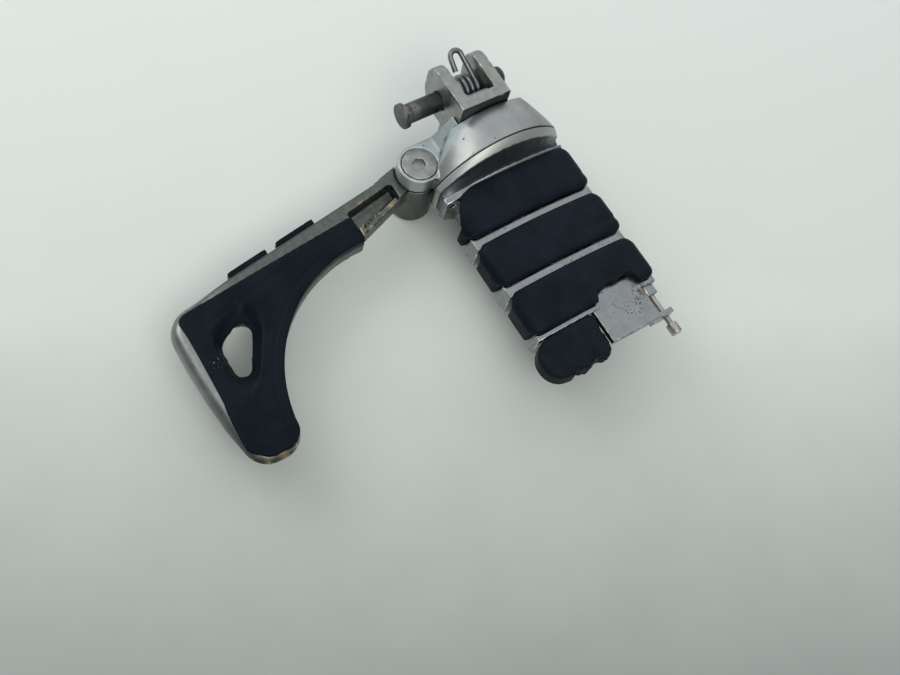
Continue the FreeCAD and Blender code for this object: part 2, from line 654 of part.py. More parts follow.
casting = [
    run(hub_end, across(cove, 0.0, bead_top, bead_right, shift)),
    run(across(cove, depth, bead_top - depth, bead_right - depth, shift),
        across(land, depth, land_top - depth, land_right - depth, shift)),
    run(across(land, 0.0, land_top, land_right, shift), across(pads)),
    run(across(pads, core_inset, core_top), across(end, core_inset, core_top)),
]
for index in range(3):
    rib_start = pads + (index + 1) * size("pad_width") + index * size("rib_width")
    rib_end = end if index == 2 else rib_start + size("rib_width")
    casting.append(run(across(rib_start), across(rib_end)))
peg_casting = made("peg_casting", casting[0].fuse(casting[1:]).removeSplitter())
TONGUE_TOP = f"({RIB_TOP} - tongue_drop)"
TONGUE_FLOOR = f"({TONGUE_TOP} - tongue_thickness)"
TONGUE_END = f"({PEG_END} + tongue_length)"
LAST_EDGE = f"({PEG_END} - last_rib_width)"
TEAR_EDGE = f"({LAST_EDGE} - tear_width)"
ROD_SIDE = "(peg_half_width - core_side + rod_inset)"
RIGHT_ROD = f"(peg_middle + {ROD_SIDE})"
LEFT_ROD = f"(peg_middle - {ROD_SIDE})"
peg_solid = fuse("peg_solid", [
    peg_casting,
    box("tongue", (f"{PEG_END} - over", TONGUE_END),
        ("peg_middle - tongue_inner", "peg_middle + tongue_side"), (TONGUE_FLOOR, TONGUE_TOP)),
    box("torn_seat", (f"{TEAR_EDGE} + 2 * pad_fit", f"{PEG_END} - over / 2"),
        ("peg_middle + tear_start + 2 * pad_fit", "peg_middle + tongue_side"), (TONGUE_FLOOR, TONGUE_TOP)),
    box("rod_lug", (f"{PEG_END} - over", f"{PEG_END} + lug_length"),
        (f"{RIGHT_ROD} - rod_head_radius", f"{RIGHT_ROD} + rod_head_radius"),
        (f"{ROD_Z} - rod_head_radius", f"{ROD_Z} + rod_head_radius")),
    box("rod_keeper", (f"{TONGUE_END} - keeper_length", TONGUE_END),
        ("peg_middle + tongue_side - tongue_thickness", f"{RIGHT_ROD} + rod_head_radius"),
        (f"{ROD_Z} - rod_head_radius", f"{TONGUE_FLOOR} + tongue_thickness / 2")),
])
ROD_START = f"({LAND_START} + land_width / 4)"
peg_body = cut("peg_body", peg_solid, [
    cylinder("peg_stud_hole", "x", "stud_radius + thread_fit", f"{SEAM} - over", f"{STUD_END} + stud_end_gap",
             spigot_place),
    cylinder("peg_dowel_hole", "x", "dowel_radius + thread_fit", f"{SEAM} - over",
             f"{DOWEL_END} + thread_fit", DOWEL_PLACE),
    cylinder("right_rod_hole", "x", "rod_radius + rod_fit", ROD_START, f"{TONGUE_END} + over",
             (RIGHT_ROD, ROD_Z)),
    cylinder("left_rod_hole", "x", "rod_radius + rod_fit", ROD_START, f"{PEG_END} + over", (LEFT_ROD, ROD_Z)),
    box("rib_relief", (f"{LAST_EDGE} - over", f"{PEG_END} + over"),
        ("peg_middle + tear_start", "peg_middle + tongue_side"), (TONGUE_TOP, f"{RIB_TOP} + over")),
])


def retaining_rod(name, place, reach):
    """A plain rod with a round head."""
    face = f"({PEG_END} + {reach})"
    return fuse(name, [
        cylinder(name + "_shank", "x", "rod_radius", f"{ROD_START} + 2 * rod_fit", f"{face} + over",
                 (place, ROD_Z)),
        cylinder(name + "_head", "x", "rod_head_radius", face, f"{face} + rod_head_length", (place, ROD_Z)),
    ])


pad_rod_right = retaining_rod("pad_rod_right", RIGHT_ROD, "rod_reach")
pad_rod_left = retaining_rod("pad_rod_left", LEFT_ROD, "rod_reach_left")

# Tread pads: rubber saddles over the core, threaded on the two rods
PAD_HALF = "(peg_half_width + pad_proud)"
SEAT_HALF = "(peg_half_width - core_side + pad_fit)"
PAD_EDGE = "(peg_edge + pad_height)"
SKIRT_END = "(peg_edge - pad_skirt)"
SEAT_EDGE = "(peg_edge - core_depth + pad_fit)"


def tread_pad(name, index, extra):
    """One saddle; extra lists what else is taken from it."""
    start = f"({PADS_START} + {index} * {PAD_PITCH} + pad_fit)"
    body = doc.addObject("PartDesign::Body", name + "_saddle")
    profile = sketch(body, name + "_profile", "YZ_Plane", start, [
        (f"peg_middle - {PAD_HALF}", PAD_EDGE),
        (f"peg_middle + {PAD_HALF}", PAD_EDGE),
        (f"peg_middle + {PAD_HALF}", SKIRT_END),
        (f"peg_middle + {SEAT_HALF}", SKIRT_END),
        (f"peg_middle + {SEAT_HALF}", SEAT_EDGE),
        (f"peg_middle - {SEAT_HALF}", SEAT_EDGE),
        (f"peg_middle - {SEAT_HALF}", SKIRT_END),
        (f"peg_middle - {PAD_HALF}", SKIRT_END),
    ], {0: f"-({PAD_HALF} ^ 2 + peg_crown ^ 2) / (2 * peg_crown)",
        4: f"({SEAT_HALF} ^ 2 + peg_crown ^ 2) / (2 * peg_crown)"})
    saddle = pad(body, name + "_block", profile, "pad_width - 2 * pad_fit")
    edge_height = number(words(PAD_EDGE))
    edge_half = number(words(PAD_HALF))

    def long_edge(edge):
        ends = [edge.Vertexes[0].Point, edge.Vertexes[-1].Point]
        on_edge = all(abs(point.z - edge_height) < NEAR and abs(abs(point.y - middle) - edge_half) < NEAR
                      for point in ends)
        return on_edge and abs(ends[0].y - ends[1].y) < NEAR < abs(ends[0].x - ends[1].x)
    rounded(body, name + "_edges", saddle, "pad_corner", long_edge)
    finish = f"{start} + pad_width + over"
    holes = [cylinder(name + side, "x", "rod_radius + rod_fit", f"{start} - over", finish, (place, ROD_Z))
             for side, place in (("_right", RIGHT_ROD), ("_left", LEFT_ROD))]
    return cut(name, body, holes + extra)


FIRST_EDGE = f"({PADS_START} + pad_fit)"
LEFT_EDGE = f"(peg_middle - {PAD_HALF})"
corner_waste = cut("corner_waste", box(
    "corner_block", (f"{FIRST_EDGE} - over", f"{FIRST_EDGE} + first_pad_corner"),
    (f"{LEFT_EDGE} - over", f"{LEFT_EDGE} + first_pad_corner"),
    (f"{SKIRT_END} - over", f"{PAD_EDGE} + peg_crown + over")), [
    cylinder("corner_round", "z", "first_pad_corner", f"{SKIRT_END} - 2 * over",
             f"{PAD_EDGE} + peg_crown + 2 * over",
             (f"{FIRST_EDGE} + first_pad_corner", f"{LEFT_EDGE} + first_pad_corner")),
])
tear_waste = box("tear_waste", (TEAR_EDGE, f"{LAST_EDGE} + over"),
                 ("peg_middle + tear_start", "peg_middle + tear_start + tear_length"),
                 (f"{SEAT_EDGE} - over", f"{PAD_EDGE} + peg_crown + over"))
tread_pad_inner = tread_pad("tread_pad_inner", 0, [corner_waste])
tread_pad_middle = tread_pad("tread_pad_middle", 1, [])
tread_pad_outer = tread_pad("tread_pad_outer", 2, [tear_waste])

# End pad: the rounded half that is left, on the left rod
LOBE_START = f"({PEG_END} + pad_fit)"
LOBE_END = f"({PEG_END} + lobe_reach)"
LOBE_OUT = "(peg_middle - lobe_side)"
LOBE_IN = "(peg_middle - lobe_inner)"
LOBE_FLOOR = "(peg_edge + lobe_top - lobe_depth)"
lobe = doc.addObject("PartDesign::Body", "lobe")
lobe_plan = sketch(lobe, "lobe_plan", "XY_Plane", LOBE_FLOOR, [
    (LOBE_START, LOBE_IN),
    (LOBE_START, f"{LOBE_OUT} + lobe_corner / 2"),
    (f"{LOBE_START} + lobe_corner / 2", LOBE_OUT),
    (LOBE_END, LOBE_OUT),
    (LOBE_END, f"{LOBE_IN} - lobe_corner"),
    (f"{LOBE_END} - lobe_corner / 2", LOBE_IN),
])
lobe_block = pad(lobe, "lobe_block", lobe_plan, "lobe_depth")
rounded(lobe, "lobe_round", lobe_block, "lobe_corner", upright_at([(LOBE_END, LOBE_OUT)]))
end_pad = cut("end_pad", lobe, [
    cylinder("lobe_rod_hole", "x", "rod_radius + rod_fit", f"{LOBE_START} - over", f"{LOBE_END} + over",
             (LEFT_ROD, ROD_Z)),
    cylinder("lobe_head_room", "x", "rod_head_radius + rod_fit", f"{PEG_END} + rod_reach_left - rod_fit",
             f"{LOBE_END} + over", (LEFT_ROD, ROD_Z)),
])

# Heel pivot: screw, washers, bush and nut on one upright axis
RECESS_TOP = f"({ARM_FLOOR} + nut_recess_depth)"
FRICTION_TOP = f"({RECESS_TOP} - 2 * pivot_play)"
NUT_TOP = f"({FRICTION_TOP} - friction_washer_thickness)"
NUT_FLOOR = f"({NUT_TOP} - nut_height)"
screw_solid = fuse("screw_solid", [
    cylinder("screw_shank", "z", "screw_radius", NUT_FLOOR, "pivot_top - screw_head_height + over", PIVOT),
    cylinder("screw_head", "z", "screw_head_radius", "pivot_top - screw_head_height", "pivot_top", PIVOT),
])
pivot_screw = cut("pivot_screw", screw_solid, [
    hexagon("screw_key", "screw_socket", "pivot_top - screw_socket_depth", "pivot_top + over", PIVOT),
])


def plain_ring(name, outside, inside, low, high):
    """A flat ring or tube on the heel pivot's axis."""
    return cut(name, cylinder(name + "_disc", "z", outside, low, high, PIVOT),
               [cylinder(name + "_eye", "z", inside, f"{low} - over", f"{high} + over", PIVOT)])


pivot_washer = plain_ring("pivot_washer", "pivot_washer_radius", "screw_radius + screw_fit",
                          f"{BOSS_FLOOR} - pivot_washer_thickness", BOSS_FLOOR)
BUSH_RADIUS = "(screw_radius + bush_fit + bush_wall)"
pivot_bush = plain_ring("pivot_bush", BUSH_RADIUS, "screw_radius + bush_fit", RECESS_TOP, ARM_TOP)
friction_washer = plain_ring("friction_washer", "friction_washer_radius", "screw_radius + screw_fit",
                             NUT_TOP, FRICTION_TOP)
nut_blank = hexagon("nut_hexagon", "nut_corner_radius * sqrt(3)", NUT_FLOOR, NUT_TOP, PIVOT)
pivot_nut = cut("pivot_nut", nut_blank, [
    cylinder("nut_thread", "z", "screw_radius + thread_fit", f"{NUT_FLOOR} - over", f"{NUT_TOP} + over",
             PIVOT),
])

# Heel rest: a plate with a hollow inner edge, a neck and a boss
OUTER_SLOPE = "((rest_corner_out + neck_outer) / (rest_reach - neck_start))"


def from_pivot(out, down):
    """A place in plan, outward and sideways from the heel pivot."""
    return (f"{PIVOT_X} + ({out})", f"{PIVOT_Y} - ({down})")


def outer_edge(down):
    """How far outward the plate's outer edge is, at a distance from the pivot."""
    return f"(-neck_outer + {OUTER_SLOPE} * (({down}) - neck_start))"


FOOT_END = "(rest_reach - foot_rise)"
TIP_INNER = f"({FOOT_END} - tip_width)"
# The neck's root corners lie inside the boss, so that neck and boss join
ROOT_BACK = "(0.82 * arm_boss_radius)"
ROOT_BACK_DOWN = "(0.4 * arm_boss_radius)"
ROOT_FRONT = "(0.56 * arm_boss_radius)"
ROOT_FRONT_DOWN = "(0.7 * arm_boss_radius)"
arm_plan_corners = [
    from_pivot(f"-{ROOT_BACK}", ROOT_BACK_DOWN),
    from_pivot("-neck_outer", "neck_start"),
    from_pivot("rest_corner_out", "rest_reach"),
    from_pivot("foot_reach", FOOT_END),
    from_pivot("foot_reach", TIP_INNER),
    from_pivot("foot_reach - tip_straight", TIP_INNER),
    from_pivot("neck_end_out", "neck_end"),
    from_pivot("neck_end_out - neck_step", "neck_end - neck_step / 2"),
    from_pivot(ROOT_FRONT, ROOT_FRONT_DOWN),
]
arm_casting = doc.addObject("PartDesign::Body", "arm_casting")
arm_plan = sketch(arm_casting, "arm_plan", "XY_Plane", REST_FLOOR, arm_plan_corners,
                  {2: "foot_radius", 5: "-inner_radius"})
arm_plate = pad(arm_casting, "arm_plate", arm_plan, "rest_thickness")
arm_corner = rounded(arm_casting, "arm_corner", arm_plate, "rest_corner", upright_at([arm_plan_corners[2]]))
rounded(arm_casting, "arm_tip", arm_corner, "tip_corner", upright_at(arm_plan_corners[3:5]))


def inlay_corners(gap):
    """The inlay's outline, a gap inside its seat."""
    return [
        from_pivot(f"neck_end_out - inlay_neck_width + {gap}", f"neck_end + {gap}"),
        from_pivot(f"rest_corner_out + rim_side + {gap}", f"rest_reach - rim_foot - {gap}"),
        from_pivot(f"foot_reach - rim_tip - {gap}", f"rest_reach - rim_foot - {gap}"),
        from_pivot(f"foot_reach - rim_tip - {gap}", f"{TIP_INNER} - inlay_lap + {gap}"),
        from_pivot("foot_reach - tip_straight", f"{TIP_INNER} - inlay_lap + {gap}"),
        from_pivot(f"neck_end_out + inlay_lap - {gap}", f"neck_end + {gap}"),
    ]


def inlay_block(name, gap, height):
    """A block with the inlay's outline, standing on the seat's floor."""
    body = doc.addObject("PartDesign::Body", name)
    corners = inlay_corners(gap)
    plan = sketch(body, name + "_plan", "XY_Plane", "rest_top - inlay_seat", corners,
                  {4: f"-(inner_radius - inlay_lap + {gap})"})
    block = pad(body, name + "_block", plan, height)
    outer = rounded(body, name + "_corner", block, "inlay_corner", upright_at(corners[1:2]))
    rounded(body, name + "_tip", outer, f"inlay_tip_corner - {gap}", upright_at(corners[2:4]))
    return body


CHANNEL_OUT = (f"-{ROOT_BACK} + ({ROOT_BACK} - neck_outer) * (channel_start - {ROOT_BACK_DOWN})"
               f" / (neck_start - {ROOT_BACK_DOWN}) + channel_rail")
CHANNEL_IN = (f"{ROOT_FRONT} + (neck_end_out - neck_step - {ROOT_FRONT})"
              f" * (channel_start - {ROOT_FRONT_DOWN}) / (neck_end - {ROOT_FRONT_DOWN}) - channel_lip")
channel_plan = sketch(arm_casting, "channel_plan", "XY_Plane", "rest_top", [
    from_pivot(CHANNEL_OUT, "channel_start"),
    from_pivot(f"{outer_edge('neck_end')} + channel_rail", "neck_end + channel_run"),
    from_pivot("neck_end_out - neck_step - channel_lip", "neck_end + channel_run"),
    from_pivot(CHANNEL_IN, "channel_start"),
])
pocket(arm_casting, "channel", channel_plan, "channel_depth")
lip_plan = sketch(arm_casting, "lip_plan", "XY_Plane", "rest_top", [
    from_pivot(f"{CHANNEL_IN} - channel_run", "channel_start"),
    from_pivot("neck_end_out - neck_step - channel_lip - channel_run", "neck_end - neck_step"),
    from_pivot("neck_end_out + 2 * over", "neck_end - neck_step"),
    from_pivot(f"{CHANNEL_IN} + channel_lip + 4 * over", "channel_start"),
])
pocket(arm_casting, "channel_lip_cut", lip_plan, "channel_lip_drop")


WINDOW_FAR = "(rest_reach - window_foot)"
WINDOW_OUT = "(rest_corner_out + window_side)"


def window_corners(rim):
    """The window's three corners, widened by a rim."""
    return [
        from_pivot(f"{WINDOW_OUT} - window_lean - {rim}", f"{WINDOW_FAR} - window_length - {rim} * 2"),
        from_pivot(f"{WINDOW_OUT} - {rim}", f"{WINDOW_FAR} + {rim}"),
        from_pivot(f"{WINDOW_OUT} + window_width + {rim} * 2", f"{WINDOW_FAR} + {rim}"),
    ]


def window_tool(name, rim, low, high):
    """A rounded three-cornered punch."""
    body = doc.addObject("PartDesign::Body", name)
    plan = sketch(body, name + "_plan", "XY_Plane", low, window_corners(rim))
    block = pad(body, name + "_block", plan, f"({high}) - ({low})")
    rounded(body, name + "_round", block, f"window_corner + {rim}", upright_at(window_corners(rim)))
    return body


BELOW_REST = f"{REST_FLOOR} - over"
arm_solid = fuse("arm_solid", [
    arm_casting,
    cylinder("arm_boss", "z", "arm_boss_radius", ARM_FLOOR, ARM_TOP, PIVOT),
])
heel_rest_arm = cut("heel_rest_arm", arm_solid, [
    cylinder("boss_relief", "z", "pivot_boss_radius + swing_gap / 2", ARM_TOP, "rest_top + over", PIVOT),
    cylinder("bush_bore", "z", f"{BUSH_RADIUS} + bush_press", f"{ARM_FLOOR} - over", "rest_top + over",
             PIVOT),
    cylinder("nut_recess", "z", "nut_recess_radius", f"{ARM_FLOOR} - over", RECESS_TOP, PIVOT),
    window_tool("window_punch", "(window_lining + inlay_fit)", BELOW_REST, "rest_top + over"),
    inlay_block("seat_punch", "0", "inlay_seat + over"),
])

# Rubber inlay of the heel rest, with a lip that lines the window
inlay = fuse("inlay_solid", [
    inlay_block("inlay", "inlay_fit", "inlay_seat + inlay_proud"),
    window_tool("inlay_lip", "window_lining", f"{REST_FLOOR} + lining_lift", "rest_top"),
])
heel_rest_pad = cut("heel_rest_pad", inlay, [window_tool("inlay_punch", "0", BELOW_REST, "rest_top + over")])


# Bumpers on the outer wall
def bumper(name, start):
    first = f"({start})"
    last = f"({start} + bumper_length)"
    body = doc.addObject("PartDesign::Body", name)
    corners = [
        from_pivot(outer_edge(first), first),
        from_pivot(f"{outer_edge(first)} - bumper_proud", first),
        from_pivot(f"{outer_edge(last)} - bumper_proud", last),
        from_pivot(outer_edge(last), last),
    ]
    low = "rest_top - rest_thickness / 2 - bumper_width / 2"
    plan = sketch(body, name + "_plan", "XY_Plane", low, corners)
    block = pad(body, name + "_block", plan, "bumper_width")
    rounded(body, name + "_ends", block, "bumper_corner", upright_at(corners[1:3]))
    return body


heel_bumper_inner = bumper("heel_bumper_inner", "bumper_start")
heel_bumper_outer = bumper("heel_bumper_outer", "bumper_start + bumper_pitch")

# Every piece is checked, then written
NODES = [
    clevis_pin, pin_clip, clevis_mount, return_spring, heel_rest_bracket, adapter_stud, adapter_dowel,
    peg_body, tread_pad_inner, tread_pad_middle, tread_pad_outer, end_pad, pad_rod_right, pad_rod_left,
    pivot_screw, pivot_washer, pivot_bush, friction_washer, pivot_nut, heel_rest_arm, heel_rest_pad,
    heel_bumper_inner, heel_bumper_outer,
]
doc.recompute()
for thing in doc.Objects:
    if "Invalid" in thing.State or "Error" in thing.State:
        raise RuntimeError(f"{thing.Label} did not build: {thing.State}")
os.makedirs("parts", exist_ok=True)
for node in NODES:
    if node.Shape.isNull() or not node.Shape.isValid() or len(node.Shape.Solids) != 1:
        raise RuntimeError(f"{node.Label} is not one sound solid")
    node.Shape.exportStep(f"parts/{node.Label}.step")
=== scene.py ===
# %% [markdown]
# # A folding footpeg with a swing-out heel rest
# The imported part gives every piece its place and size. This lesson dresses it: castings lose their
# knife edges, rubber gets its rounded and torn shapes, and each surface gets a worn finish.

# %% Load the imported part
import math

import bmesh
import bpy
import numpy as np
from mathutils import Matrix, Vector, noise


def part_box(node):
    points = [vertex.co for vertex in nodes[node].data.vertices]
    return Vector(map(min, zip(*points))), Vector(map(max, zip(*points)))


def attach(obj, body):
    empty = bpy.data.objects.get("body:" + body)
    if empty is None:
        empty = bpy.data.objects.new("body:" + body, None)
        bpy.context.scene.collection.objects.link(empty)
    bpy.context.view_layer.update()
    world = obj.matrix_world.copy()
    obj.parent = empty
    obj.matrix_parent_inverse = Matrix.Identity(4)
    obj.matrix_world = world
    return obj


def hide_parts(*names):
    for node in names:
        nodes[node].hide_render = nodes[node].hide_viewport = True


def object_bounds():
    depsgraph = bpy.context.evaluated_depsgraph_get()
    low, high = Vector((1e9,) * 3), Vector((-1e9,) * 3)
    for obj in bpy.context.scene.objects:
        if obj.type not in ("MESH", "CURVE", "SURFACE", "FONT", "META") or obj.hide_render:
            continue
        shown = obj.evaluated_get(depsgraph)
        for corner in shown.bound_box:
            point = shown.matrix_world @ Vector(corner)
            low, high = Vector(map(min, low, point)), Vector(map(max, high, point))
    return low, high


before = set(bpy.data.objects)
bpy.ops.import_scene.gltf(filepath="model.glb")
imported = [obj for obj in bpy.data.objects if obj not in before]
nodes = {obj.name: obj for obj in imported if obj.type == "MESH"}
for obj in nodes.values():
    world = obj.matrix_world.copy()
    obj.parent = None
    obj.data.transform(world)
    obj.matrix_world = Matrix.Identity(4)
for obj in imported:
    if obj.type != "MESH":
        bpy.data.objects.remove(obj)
cad_low, cad_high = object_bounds()
MM = 0.001
print("CAD box in mm:", [round(side / MM, 1) for side in cad_high - cad_low])

# %% [markdown]
# The camera comes first, because every later choice is judged through it. It looks down on the peg
# from the rider's side. Three vectors fix it: where it stands, its right hand and its downward edge.

# %% Camera
CAMERA_PLACE = Vector((199.95, -211.15, 375.85)) * MM
CAMERA_RIGHT = Vector((0.52478, 0.83282, 0.17613)).normalized()
CAMERA_DOWN = Vector((0.80967, -0.42448, -0.40529))
CAMERA_LENS = 46.14
SENSOR_WIDTH = 36.0
camera_up = -(CAMERA_DOWN - CAMERA_RIGHT * CAMERA_DOWN.dot(CAMERA_RIGHT)).normalized()
camera_back = CAMERA_RIGHT.cross(camera_up)
camera_turn = Matrix((CAMERA_RIGHT, camera_up, camera_back)).transposed().to_4x4()
camera_data = bpy.data.cameras.new("camera")
camera_data.lens = CAMERA_LENS
camera_data.sensor_width = SENSOR_WIDTH
camera_data.clip_start = 0.01
camera = bpy.data.objects.new("camera", camera_data)
camera.matrix_world = Matrix.Translation(CAMERA_PLACE) @ camera_turn
bpy.context.scene.collection.objects.link(camera)
bpy.context.scene.camera = camera
print("camera stands", round(CAMERA_PLACE.length, 3), "m from the clevis pin")

# %% [markdown]
# The photo has soft light from all round. A wide dim panel stands for the ceiling. A window and a pale
# wall are mirrored on the two flanks of the dome, and a lamp on the near side lights the bead under it.
# All are broad, because polished metal mirrors them and a small lamp would burn a white spot into the
# dome. A panel's power is worked out from how bright its face looks.

# %% Light
scene = bpy.context.scene
scene.view_settings.view_transform = "Standard"
middle = (cad_low + cad_high) / 2


def panel_light(name, place, width, height, glow, tint):
    """A soft rectangular lamp that looks at the part; glow is how bright its face is."""
    data = bpy.data.lights.new(name, "AREA")
    data.shape = "RECTANGLE"
    data.size = width
    data.size_y = height
    data.energy = math.pi * glow * width * height
    data.color = tint
    lamp = bpy.data.objects.new(name, data)
    lamp.location = place
    lamp.rotation_euler = (middle - Vector(place)).to_track_quat("-Z", "Y").to_euler()
    scene.collection.objects.link(lamp)
    print(name, "gives", round(data.energy, 1), "W")


panel_light("ceiling_panel", (-0.20, 0.20, 1.20), width=2.2, height=2.2, glow=0.62, tint=(0.95, 0.98, 1.0))
panel_light("window_panel", (-0.58, 0.62, 0.28), width=1.0, height=0.36, glow=0.75, tint=(1.0, 1.0, 0.98))
panel_light("wall_panel", (-0.58, -0.40, 0.56), width=0.52, height=0.52, glow=2.3, tint=(1.0, 1.0, 0.95))
panel_light("lamp_panel", (0.62, -0.20, 0.72), width=0.62, height=0.42, glow=3.0, tint=(1.0, 0.97, 0.90))
WORLD_TINT = (0.60, 0.64, 0.66, 1.0)
WORLD_STRENGTH = 0.44
world = bpy.data.worlds.new("studio_world")
world.use_nodes = True
world.node_tree.nodes["Background"].inputs["Color"].default_value = WORLD_TINT
world.node_tree.nodes["Background"].inputs["Strength"].default_value = WORLD_STRENGTH
scene.world = world

# %% [markdown]
# The part lies on a table.

# %% Table
FLOOR_DROP = 0.5 * MM
FLOOR_SIZE = 4.0
floor_mesh = bpy.data.meshes.new("table")
half = FLOOR_SIZE / 2
floor_height = cad_low.z - FLOOR_DROP
floor_corners = [(-half, -half, floor_height), (half, -half, floor_height),
                 (half, half, floor_height), (-half, half, floor_height)]
floor_mesh.from_pydata(floor_corners, [], [(0, 1, 2, 3)])
floor = bpy.data.objects.new("table", floor_mesh)
scene.collection.objects.link(floor)
print("the table lies at", round(floor_height / MM, 1), "mm")

# %% [markdown]
# Several finishes share the same effects, so each effect is a shader group that is built once. Every
# group reads the Object coordinates handed to it and puts out a mask or a value between two limits.
# Four helpers keep the groups short: an empty group, a clamped range, a noise and a sum on sockets.

# %% Helpers for shader groups
def effect_group(name, inputs, output):
    """An empty shader group with named number inputs, a place input and one output."""
    tree = bpy.data.node_groups.new(name, "ShaderNodeTree")
    tree.interface.new_socket("Place", in_out="INPUT", socket_type="NodeSocketVector")
    for label, value in inputs:
        tree.interface.new_socket(label, in_out="INPUT", socket_type="NodeSocketFloat").default_value = value
    tree.interface.new_socket(output, in_out="OUTPUT", socket_type="NodeSocketFloat")
    return tree, tree.nodes.new("NodeGroupInput"), tree.nodes.new("NodeGroupOutput")


def ranged(tree, value, low, high, to_low, to_high):
    """A Map Range node, clamped; every limit is a number or a socket."""
    step = tree.nodes.new("ShaderNodeMapRange")
    step.clamp = True
    tree.links.new(value, step.inputs["Value"])
    for label, limit in (("From Min", low), ("From Max", high), ("To Min", to_low), ("To Max", to_high)):
        if isinstance(limit, (int, float)):
            step.inputs[label].default_value = limit
        else:
            tree.links.new(limit, step.inputs[label])
    return step.outputs["Result"]


def noisy(tree, place, scale, detail, roughness=0.55):
    """A noise texture's value at a place."""
    texture = tree.nodes.new("ShaderNodeTexNoise")
    texture.inputs["Detail"].default_value = detail
    texture.inputs["Roughness"].default_value = roughness
    tree.links.new(place, texture.inputs["Vector"])
    tree.links.new(scale, texture.inputs["Scale"])
    return texture.outputs["Fac"]


def reckoned(tree, operation, *values):
    """The result of a Math node on sockets."""
    step = tree.nodes.new("ShaderNodeMath")
    step.operation = operation
    for socket, value in zip(step.inputs, values):
        tree.links.new(value, socket)
    return step.outputs[0]


# %% [markdown]
# Mottle is slow variation, as on handled or weathered surfaces. Specks are small separate spots: pits in
# plating, rust, dust or scuffs. Both come from noise, and they differ in how hard its range is cut.

# %% Mottle and specks
CLOUD_RANGE = (0.36, 0.64)


def mottle_group():
    """Slow variation between two values."""
    tree, given, result = effect_group("mottle", [("Scale", 150.0), ("Low", 0.0), ("High", 1.0)], "Value")
    cloud = noisy(tree, given.outputs["Place"], given.outputs["Scale"], detail=4.0)
    value = ranged(tree, cloud, *CLOUD_RANGE, given.outputs["Low"], given.outputs["High"])
    tree.links.new(value, result.inputs["Value"])
    return tree


def specks_group():
    """Small separate spots."""
    inputs = [("Scale", 900.0), ("Cover", 0.35), ("Softness", 0.06)]
    tree, given, result = effect_group("specks", inputs, "Mask")
    cloud = noisy(tree, given.outputs["Place"], given.outputs["Scale"], detail=2.0, roughness=0.5)
    edge = reckoned(tree, "ADD", given.outputs["Cover"], given.outputs["Softness"])
    spots = ranged(tree, cloud, given.outputs["Cover"], edge, 1.0, 0.0)
    tree.links.new(spots, result.inputs["Mask"])
    return tree


# %% [markdown]
# Worn edges, and hollows darkened by grime and painted shade, need the mesh's help: a later step stores how
# far each point sticks out or lies in, and this group reads that attribute and breaks it up with noise.
# Streaks are fine scratches along one axis, made from noise that is squeezed across it.

# %% Edges, hollows and streaks
STREAK_RANGE = (0.3, 0.7)
EDGE_RANGE = (0.72, 0.92)
HOLLOW_RANGE = (0.66, 1.0)


def marked_group(name, attribute, low, high):
    """A mask where the mesh carries an attribute, broken up by noise."""
    tree, given, result = effect_group(name, [("Scale", 400.0), ("Amount", 0.5)], "Mask")
    mark = tree.nodes.new("ShaderNodeAttribute")
    mark.attribute_name = attribute
    cloud = noisy(tree, given.outputs["Place"], given.outputs["Scale"], detail=3.0)
    lifted = reckoned(tree, "MULTIPLY_ADD", mark.outputs["Fac"], given.outputs["Amount"], cloud)
    tree.links.new(ranged(tree, lifted, low, high, 0.0, 1.0), result.inputs["Mask"])
    return tree


def streaks_group():
    """Fine scratches along one axis."""
    tree, given, result = effect_group("streaks", [("Scale", 500.0), ("Stretch", 0.04)], "Value")
    split = tree.nodes.new("ShaderNodeSeparateXYZ")
    tree.links.new(given.outputs["Place"], split.inputs[0])
    joined = tree.nodes.new("ShaderNodeCombineXYZ")
    shrunk = reckoned(tree, "MULTIPLY", split.outputs["X"], given.outputs["Stretch"])
    tree.links.new(shrunk, joined.inputs["X"])
    tree.links.new(split.outputs["Y"], joined.inputs["Y"])
    tree.links.new(split.outputs["Z"], joined.inputs["Z"])
    cloud = noisy(tree, joined.outputs[0], given.outputs["Scale"], detail=2.0)
    tree.links.new(ranged(tree, cloud, *STREAK_RANGE, 0.0, 1.0), result.inputs["Value"])
    return tree


EFFECTS = {"mottle": mottle_group(), "specks": specks_group(), "streaks": streaks_group(),
           "edge_wear": marked_group("edge_wear", "edge", *EDGE_RANGE),
           "dirt_and_shade": marked_group("dirt_and_shade", "hollow", *HOLLOW_RANGE)}
print("shader effects:", ", ".join(EFFECTS))

# %% [markdown]
# A finish is one Principled shader with a few effects in front of it. This small class keeps the
# wiring short: `effect` places a group, `mix` blends two colours or numbers by a mask, and `feed`
# plugs a result into the shader. `toward` and `near` are masks by place, for wear that sits somewhere.
# A Mix node has its own sockets for each kind of value, so the numbers of the first, second and result
# are named.

# %% A finish
MIX_COLOURS = (6, 7, 2)
MIX_NUMBERS = (2, 3, 0)


